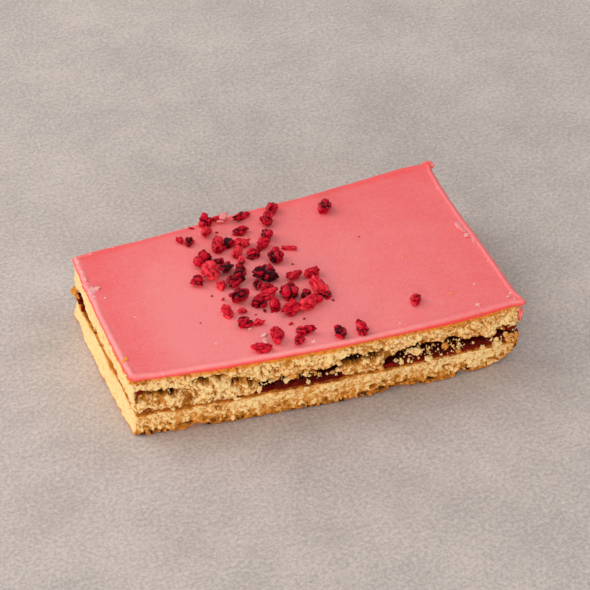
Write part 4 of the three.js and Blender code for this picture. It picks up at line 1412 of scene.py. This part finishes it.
def raspberry_points(bits, rows, columns):
    """Dried raspberry bits: each is a cluster of balls, broken off flat on a few sides,
    wrinkled, stretched to its length and width, turned and laid on the icing."""
    ball, faces = unit_ball(rows, columns)
    count = len(bits)
    directions = np.broadcast_to(ball, (count, *ball.shape))
    centres = random_directions(count, BIT_BALLS, 201) * (
        0.34 + 0.22 * counted(count * BIT_BALLS, 205).reshape(count, BIT_BALLS, 1))
    radii = 0.36 + 0.3 * counted(count * BIT_BALLS, 206).reshape(count, BIT_BALLS)
    radius, behind = lobed_radius(directions, centres, radii)
    seam = 1 - smoothstep(behind, 0.0, 0.13)
    breaks = random_directions(count, BIT_BREAKS, 211)
    depth = 0.5 + 0.4 * counted(count * BIT_BREAKS, 213).reshape(count, 1, BIT_BREAKS)
    facing = directions @ np.swapaxes(breaks, 1, 2)
    cut = np.min(np.where(facing > 0.05, depth / np.maximum(facing, 0.05), 9), axis=-1)
    broken = smoothstep(radius - cut, 0.0, 0.1)
    radius = np.clip(np.minimum(radius, cut), 0.35, 1.2)
    place = directions + np.arange(count)[:, None, None] * np.array([7.3, 3.1, 5.7])
    folds = (1 - np.abs(noise(place, 0.8, 221))) ** 7
    ridges = (1 - np.abs(noise(place * np.array([0.45, 1.4, 1.4]), 0.3, 222))) ** 3
    radius = radius * (1 - 0.1 * seam - 0.4 * folds - 0.09 * ridges) + 0.04 * noise(
        place, 0.22, 223)
    points = turned(directions * radius[..., None], 0.0,
                    2 * math.pi * counted(count, 215)[:, None], 0.0)
    length, width = BIT_GROWTH * bits[:, 2], BIT_GROWTH * bits[:, 3]
    points = fitted(points, length, width, (0.75 + 0.25 * counted(count, 216)) * width)
    points = turned(points, np.radians(bits[:, 4])[:, None],
                    0.5 * (counted(count, 217)[:, None] - 0.5),
                    0.5 * (counted(count, 218)[:, None] - 0.5))
    points[..., :2] += bits[:, None, :2]
    # Painted shade: darker in the seams, folds and ridge lines; lighter on the broken faces.
    raised = 1 - 0.6 * seam - 1.1 * folds - 0.4 * ridges + 0.2 * broken
    return points, faces, raised


def curled_skins(bits, rows, columns):
    """Curls of dried skin on the brighter bits: each is a thin flat lens, bent round its
    length into an open roll, with ragged edges."""
    ball, faces = unit_ball(rows, columns)
    count = len(bits)
    shape = np.broadcast_to(ball, (count, *ball.shape))
    place = shape + np.arange(count)[:, None, None] * 5.3
    ragged = 1 + 0.3 * noise(place, 0.5, 231)
    length, width = bits[:, 2, None], bits[:, 3, None]
    x = 0.5 * length * shape[..., 0] * ragged
    reach = 1.5 * shape[..., 1] * ragged
    grooves = (1 - np.abs(noise(place * np.array([0.3, 1.6, 0.3]), 0.3, 235))) ** 3
    thick = 0.14 * shape[..., 2] + 0.1 * noise(place, 0.35, 232) - 0.2 * width * grooves
    roll = 0.46 * width * (1 + 0.2 * shape[..., 0]) + thick
    points = np.stack([x, roll * np.sin(reach), roll * np.cos(reach)], axis=-1)
    points = turned(points, np.radians(bits[:, 4])[:, None],
                    1.6 * (counted(count, 233)[:, None] - 0.5),
                    0.5 * (counted(count, 234)[:, None] - 0.5))
    points[..., :2] += bits[:, None, :2]
    # Painted shade: darker in the grooves and on the inner face of the roll, lighter towards its
    # edges.
    raised = 0.7 + 0.3 * np.abs(shape[..., 1]) - 0.9 * grooves - 0.3 * (shape[..., 2] < 0)
    return points, faces, raised


class SLICE_OT_raspberry_bits(PieceMaker, bpy.types.Operator):
    """Scatter the dried raspberry bits over the icing"""

    bl_idname = "slice.raspberry_bits"
    bl_label = "Raspberry Bits"

    def lay_on_icing(self, name, bits, points, faces, raised):
        """One piece of all these bits, lifted to lie on the icing."""
        top = bpy.context.scene.slice_sizes.icing_top / MM
        points[..., 2] += top + 0.3 * bits[:, 3:4]
        each = points.shape[1]
        attributes = {"raised": raised.ravel(), "tone": np.repeat(bits[:, 5], each)}
        return make_piece(name, points.reshape(-1, 3), many_faces(faces, each, len(bits)),
                          attributes, "dried_raspberry")

    def execute(self, context):
        piece = self.lay_on_icing("raspberry_bits", BITS, *raspberry_points(BITS, *BIT_GRID))
        self.finish_piece(piece, "pink_icing", "icing")
        curled = BITS[(BITS[:, 5] >= CURL_BRIGHTNESS) & (BITS[:, 2] > CURL_LENGTH)]
        piece = self.lay_on_icing(
            "raspberry_skins", curled, *curled_skins(curled, *CURL_GRID))
        return self.finish_piece(piece, "pink_icing")


def crumbs_at(middles, sizes, seed, rows=4, columns=7, turns=None, tilt=0.6):
    """Crumbs as joined, dented and turned small balls at given places, with three sizes each,
    and the number of points of each. They are turned at random where turns aren't given."""
    random = np.random.default_rng(seed)
    ball, faces = unit_ball(rows, columns)
    count = len(middles)
    place = ball[None] + np.arange(count)[:, None, None] * 3.3
    dents = 1 + 0.55 * noise(place, 0.8, seed) + 0.3 * noise(place, 0.35, seed + 1)
    points = ball[None] * dents[..., None] * sizes[:, None] / 2
    angles = random.uniform(-tilt, tilt, (3, count, 1))
    if turns is not None:
        angles[0] = turns[:, None]
    points = turned(points, angles[0], angles[1], angles[2]) + middles[:, None]
    return points.reshape(-1, 3), many_faces(faces, len(ball), count), len(ball)


class SLICE_OT_sugar(PieceMaker, bpy.types.Operator):
    """Set chips of pale icing and white sugar grains on the icing's edges and between the bits"""

    bl_idname = "slice.sugar"
    bl_label = "Sugar"

    def execute(self, context):
        top = context.scene.slice_sizes.icing_top / MM
        random = np.random.default_rng(5)
        number = SUGAR_PATCHES[:, 3].astype(int)
        middle = np.repeat(SUGAR_PATCHES[:, :2], number, axis=0)
        spread = np.repeat(SUGAR_PATCHES[:, 2], number)[:, None]
        plan = middle + spread * random.normal(0, 0.6, middle.shape)
        size = random.uniform(0.2, 0.55, (len(plan), 1)) * np.array([1.0, 0.8, 0.5])
        places = np.column_stack([plan, np.full(len(plan), top + 0.05)])
        points, faces, _ = crumbs_at(places, size, 301)
        piece = make_piece("sugar_grains", points, faces, {}, "sugar_grain", smooth=False)
        self.finish_piece(piece, "pink_icing")
        sizes = np.column_stack([ICING_CHIPS[:, 3:5], np.full(len(ICING_CHIPS), 0.5)])
        points, faces, each = crumbs_at(
            ICING_CHIPS[:, :3], sizes, 311, *CHIP_GRID, np.radians(ICING_CHIPS[:, 5]), 0.25)
        pale = np.repeat(ICING_CHIPS[:, 6], each) * (0.8 + 0.4 * noise(points, 0.6, 312))
        attributes = {"pale": np.clip(pale, 0, 1), "bloom": 0.6, "low_rim": 0.0}
        piece = make_piece("icing_chips", points, faces, attributes, "set_icing")
        return self.finish_piece(piece, "pink_icing")


def side_crumbs(random, outline):
    """Middles and sizes of the crumbs in the torn sides, where there is pastry behind."""
    chosen = random.integers(0, outline.count, SIDE_CRUMBS)
    height = random.uniform(0.4, 18.2, SIDE_CRUMBS)
    lip = lip_height(outline)[chosen]
    edge = outline.at(0.0)[chosen]
    on_base = (height < 7.0) & (height > lifted(edge[:, 0] + 0.5) + 0.8)
    solid = on_base | (height > lip + 0.4)
    chosen, height, edge = chosen[solid], height[solid], edge[solid]
    size = (0.35 + 0.65 * random.random(len(chosen)) ** 2.5)[:, None]
    depth = random.uniform(-0.5, 0.05, len(chosen))
    middles = np.column_stack([edge + outline.outward()[chosen] * depth[:, None], height])
    return middles, size * random.uniform(0.6, 1.1, (len(size), 3))


def jam_crumbs(random):
    """Middles and sizes of the crumbs that are strewn on the jam along the front."""
    middles = np.concatenate([
        front_place(random.uniform(start, end, int(number)),
                    random.uniform(-1.4, -0.1, int(number)),
                    random.uniform(low, high, int(number)))
        for start, end, low, high, number in JAM_CRUMBS
    ])
    sizes = (0.28 + 0.9 * random.random((len(middles), 1)) ** 3) * random.uniform(
        0.5, 1.0, (len(middles), 3)) * np.array([1.0, 1.0, 1.4])
    return middles, sizes


def rim_crumbs(random, outline):
    """Middles and sizes of the browned crumbs under the icing's rim on the left."""
    columns = CRUMB_COLUMNS[LEFT]
    chosen = random.integers(0, columns, RIM_CRUMBS) + outline.count - columns
    out = outline.outward()[chosen] * random.uniform(0.1, 0.5, (RIM_CRUMBS, 1))
    height = icing_edge(outline)[chosen] - random.uniform(-0.1, 0.5, RIM_CRUMBS)
    middles = np.column_stack([outline.at(0.0)[chosen] + out, height])
    return middles, random.uniform(0.35, 0.9, (RIM_CRUMBS, 3))


def icing_crumbs():
    """Middles and sizes of the flat browned crumbs on the icing."""
    height = np.full(len(ICING_CRUMBS), ICING_CRUMB_HEIGHT)
    sizes = ICING_CRUMBS[:, 2:3] * np.array([1.0, 0.5, 0.35])
    return np.column_stack([ICING_CRUMBS[:, :2], height]), sizes


class SLICE_OT_crumbs(PieceMaker, bpy.types.Operator):
    """Set loose crumbs into the torn sides, on the jam, under the rim and on the icing, and
    larger lumps into the gap along the front"""

    bl_idname = "slice.crumbs"
    bl_label = "Crumbs"

    def loose_crumbs(self):
        """The small crumbs: those under the rim and on the icing are browned."""
        random = np.random.default_rng(11)
        outline = Outline(CRUMB_COLUMNS, **ICING_LEFT)
        groups = [side_crumbs(random, outline), jam_crumbs(random),
                  rim_crumbs(random, outline), icing_crumbs()]
        middles, sizes = [np.concatenate(parts) for parts in zip(*groups)]
        points, faces, each = crumbs_at(middles, sizes, 401)
        browned = 0.5 * (random.random(len(middles)) > 0.92)
        browned[-len(ICING_CRUMBS) - RIM_CRUMBS:] = 0.9
        tone = random.uniform(-0.2, 0.5, len(middles))
        attributes = {"tone": np.repeat(tone, each), "browned": np.repeat(browned, each),
                      "pit": 0.0, "stain": 0.0}
        return make_piece(
            "loose_crumbs", points, faces, attributes, "baked_pastry", smooth=False)

    def crumb_chunks(self):
        """The larger lumps: balls with the crumb's relief, pushed out from their middles."""
        middles = front_place(
            FRONT_CHUNKS[:, 0], FRONT_CHUNKS[:, 2] - 0.2, FRONT_CHUNKS[:, 1])
        sizes = np.column_stack(
            [FRONT_CHUNKS[:, 3], 0.8 * FRONT_CHUNKS[:, 3:5].mean(axis=1), FRONT_CHUNKS[:, 4]])
        middles = np.concatenate([middles, LEFT_CHUNKS[:, :3]])
        sizes = np.concatenate([sizes, LEFT_CHUNKS[:, 3:6]])
        points, faces, each = crumbs_at(middles, sizes, 411, *CHUNK_GRID)
        golden = np.repeat(np.concatenate([FRONT_CHUNKS[:, 5], LEFT_CHUNKS[:, 6]]), each)
        relief, pit = crumb_relief(points, np.full(len(points), 0.5))
        away = points - np.repeat(middles, each, axis=0)
        away /= np.linalg.norm(away, axis=1, keepdims=True)
        points = points + away * (0.45 * relief[:, None])
        # The chunks' clefts and pores carry painted shade through the pit.
        attributes = {"tone": 0.3 - 0.6 * golden, "browned": 0.35 * golden, "pit": 0.7 * pit,
                      "stain": 0.0}
        return make_piece("crumb_chunks", points, faces, attributes, "baked_pastry")

    def execute(self, context):
        self.finish_piece(self.loose_crumbs(), "pastry_lid")
        return self.finish_piece(self.crumb_chunks(), "pastry_lid")


class SLICE_OT_smears(PieceMaker, bpy.types.Operator):
    """Smear jam on the torn crumb, and icing down the right end"""

    bl_idname = "slice.smears"
    bl_label = "Smears"

    def execute(self, context):
        middles = front_place(JAM_SMEARS[:, 0], JAM_SMEARS[:, 2], JAM_SMEARS[:, 1])
        sizes = 2 * np.column_stack(
            [JAM_SMEARS[:, 3], np.full(len(middles), 0.5), JAM_SMEARS[:, 4]])
        middles = np.concatenate([middles, LEFT_JAM[:, :3]])
        sizes = np.concatenate([sizes, LEFT_JAM[:, 3:]])
        points, faces, _ = crumbs_at(middles, sizes, 421, *SMEAR_GRID)
        piece = make_piece("jam_smears", points, faces, {"thin": 0.5}, "wet_jam")
        self.finish_piece(piece, "raspberry_jam")
        points, faces, _ = crumbs_at(
            ICING_SMEARS[:, :3], ICING_SMEARS[:, 3:], 431, *SMEAR_GRID)
        attributes = {"low_rim": 0.25, "bloom": 0.3, "pale": 0.12}
        piece = make_piece("icing_smears", points, faces, attributes, "set_icing")
        return self.finish_piece(piece, "pink_icing")


# ---------------------------------------------------------------- stage


def floor_material():
    """Pale matt stone: cloudy blotches, a fine worm-like grain and small dark pits."""
    base = bpy.context.scene.slice_stage.floor
    shader = Shader("pale_floor")
    dark, light, pitted = [[min(1.0, share * c) for c in base] for share in (0.80, 1.19, 0.62)]
    worms = shader.grain(1.1, 2.0, 0.5)
    value = shader.total((worms, 1.0), (shader.grain(0.5, 2.0), 0.9),
                         (shader.grain(26, 4.0, 0.6), 0.6), (shader.grain(7, 3.0), 0.25))
    colour = shader.mix(shader.remap(value, 1.14, 1.62), dark, light)
    pits = shader.remap(shader.spots(9.0), 0.03, 0.06, 1.0, 0.0)
    pits = shader.math("MULTIPLY", pits, shader.remap(worms, 0.4, 0.6))
    colour = shader.mix(pits, colour, pitted)
    return shader.surface({
        "Base Color": colour, "Roughness": 0.75, "Specular IOR Level": 0.2,
        "Normal": shader.bump(worms, 0.25, 0.3),
    })


def camera_matrix(look):
    """The camera's place and turn: back along its azimuth and elevation from the point that
    it looks at, then rolled."""
    target = Vector(LOOK_AT)
    back = Vector((math.sin(look.azimuth) * math.cos(look.elevation),
                   -math.cos(look.azimuth) * math.cos(look.elevation),
                   math.sin(look.elevation)))
    right = (-back).cross(Vector((0, 0, 1))).normalized()
    up = right.cross(-back)
    rolled = math.cos(look.roll) * right + math.sin(look.roll) * up
    top = -math.sin(look.roll) * right + math.cos(look.roll) * up
    turn = Matrix((rolled, top, back)).transposed().to_4x4()
    return Matrix.Translation(target + back * look.distance) @ turn


def area_light(name, power, place, wide, high, colour):
    """A soft rectangular light at a place in metres, facing the slice."""
    light = bpy.data.lights.new(name, "AREA")
    light.shape = "RECTANGLE"
    light.energy = power
    light.size = wide
    light.size_y = high
    light.color = colour
    lamp = bpy.data.objects.new(name, light)
    bpy.context.scene.collection.objects.link(lamp)
    facing = Vector(place).to_track_quat("Z", "Y").to_matrix().to_4x4()
    lamp.matrix_world = Matrix.Translation(place) @ facing


class SLICE_OT_stage(bpy.types.Operator):
    """Set the pale floor, the soft lights and the camera"""

    bl_idname = "slice.stage"
    bl_label = "Stage"

    def lay_floor(self, context):
        """A square of stone under the slice."""
        mesh = bpy.data.meshes.new("floor")
        corners = [(x * FLOOR_HALF, y * FLOOR_HALF, 0)
                   for x, y in ((-1, -1), (1, -1), (1, 1), (-1, 1))]
        mesh.from_pydata(corners, [], [(0, 1, 2, 3)])
        mesh.materials.append(floor_material())
        floor = bpy.data.objects.new("floor", mesh)
        context.scene.collection.objects.link(floor)

    def light_up(self, context, look):
        """The area lights, and a weak white sky all round."""
        for name, settings in LIGHTS.items():
            area_light(name + "_light", getattr(look, name + "_power"), *settings)
        world = bpy.data.worlds.new("soft_sky")
        world.use_nodes = True
        background = world.node_tree.nodes["Background"]
        background.inputs["Color"].default_value = (1.0, 1.0, 1.0, 1.0)
        background.inputs["Strength"].default_value = look.sky_strength
        context.scene.world = world

    def execute(self, context):
        look = context.scene.slice_stage
        self.lay_floor(context)
        self.light_up(context, look)
        camera_data = bpy.data.cameras.new("camera")
        camera_data.lens = look.lens
        camera_data.sensor_width = SENSOR_WIDTH
        camera = bpy.data.objects.new("camera", camera_data)
        context.scene.collection.objects.link(camera)
        camera.matrix_world = camera_matrix(look)
        context.scene.camera = camera
        context.scene.view_settings.view_transform = "Standard"
        return {"FINISHED"}


class SLICE_OT_materials(bpy.types.Operator):
    """Make the materials of the pastry, jam, icing, sugar and raspberry"""

    bl_idname = "slice.materials"
    bl_label = "Materials"

    def execute(self, context):
        pastry_material()
        jam_material()
        icing_material()
        sugar_material()
        berry_material()
        return {"FINISHED"}


OPERATORS = (
    SLICE_OT_stage, SLICE_OT_materials, SLICE_OT_bottom_pastry, SLICE_OT_jam,
    SLICE_OT_top_pastry, SLICE_OT_icing, SLICE_OT_raspberry_bits, SLICE_OT_sugar,
    SLICE_OT_crumbs, SLICE_OT_smears,
)


class SLICE_PT_panel(bpy.types.Panel):
    """Lists the settings and the pieces of the slice"""

    bl_label = "Raspberry Slice"
    bl_idname = "SLICE_PT_panel"
    bl_space_type = "VIEW_3D"
    bl_region_type = "UI"
    bl_category = "Slice"

    def draw(self, context):
        for name, group in SETTINGS.items():
            box = self.layout.box()
            for key in group.__annotations__:
                box.prop(getattr(context.scene, name), key)
        for operator in OPERATORS:
            self.layout.operator(operator.bl_idname)


def register():
    """Adds the settings to the scene, and the operators and the panel to Blender."""
    for cls in (*SETTINGS.values(), *OPERATORS, SLICE_PT_panel):
        bpy.utils.register_class(cls)
    for name, group in SETTINGS.items():
        setattr(bpy.types.Scene, name, PointerProperty(type=group))


def unregister():
    """Takes away what register() added."""
    for name in SETTINGS:
        delattr(bpy.types.Scene, name)
    for cls in reversed((*SETTINGS.values(), *OPERATORS, SLICE_PT_panel)):
        bpy.utils.unregister_class(cls)


def main():
    """Registers the add-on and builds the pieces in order."""
    register()
    for operator in OPERATORS:
        group, name = operator.bl_idname.split(".")
        getattr(getattr(bpy.ops, group), name)()


if __name__ == "__main__":
    main()
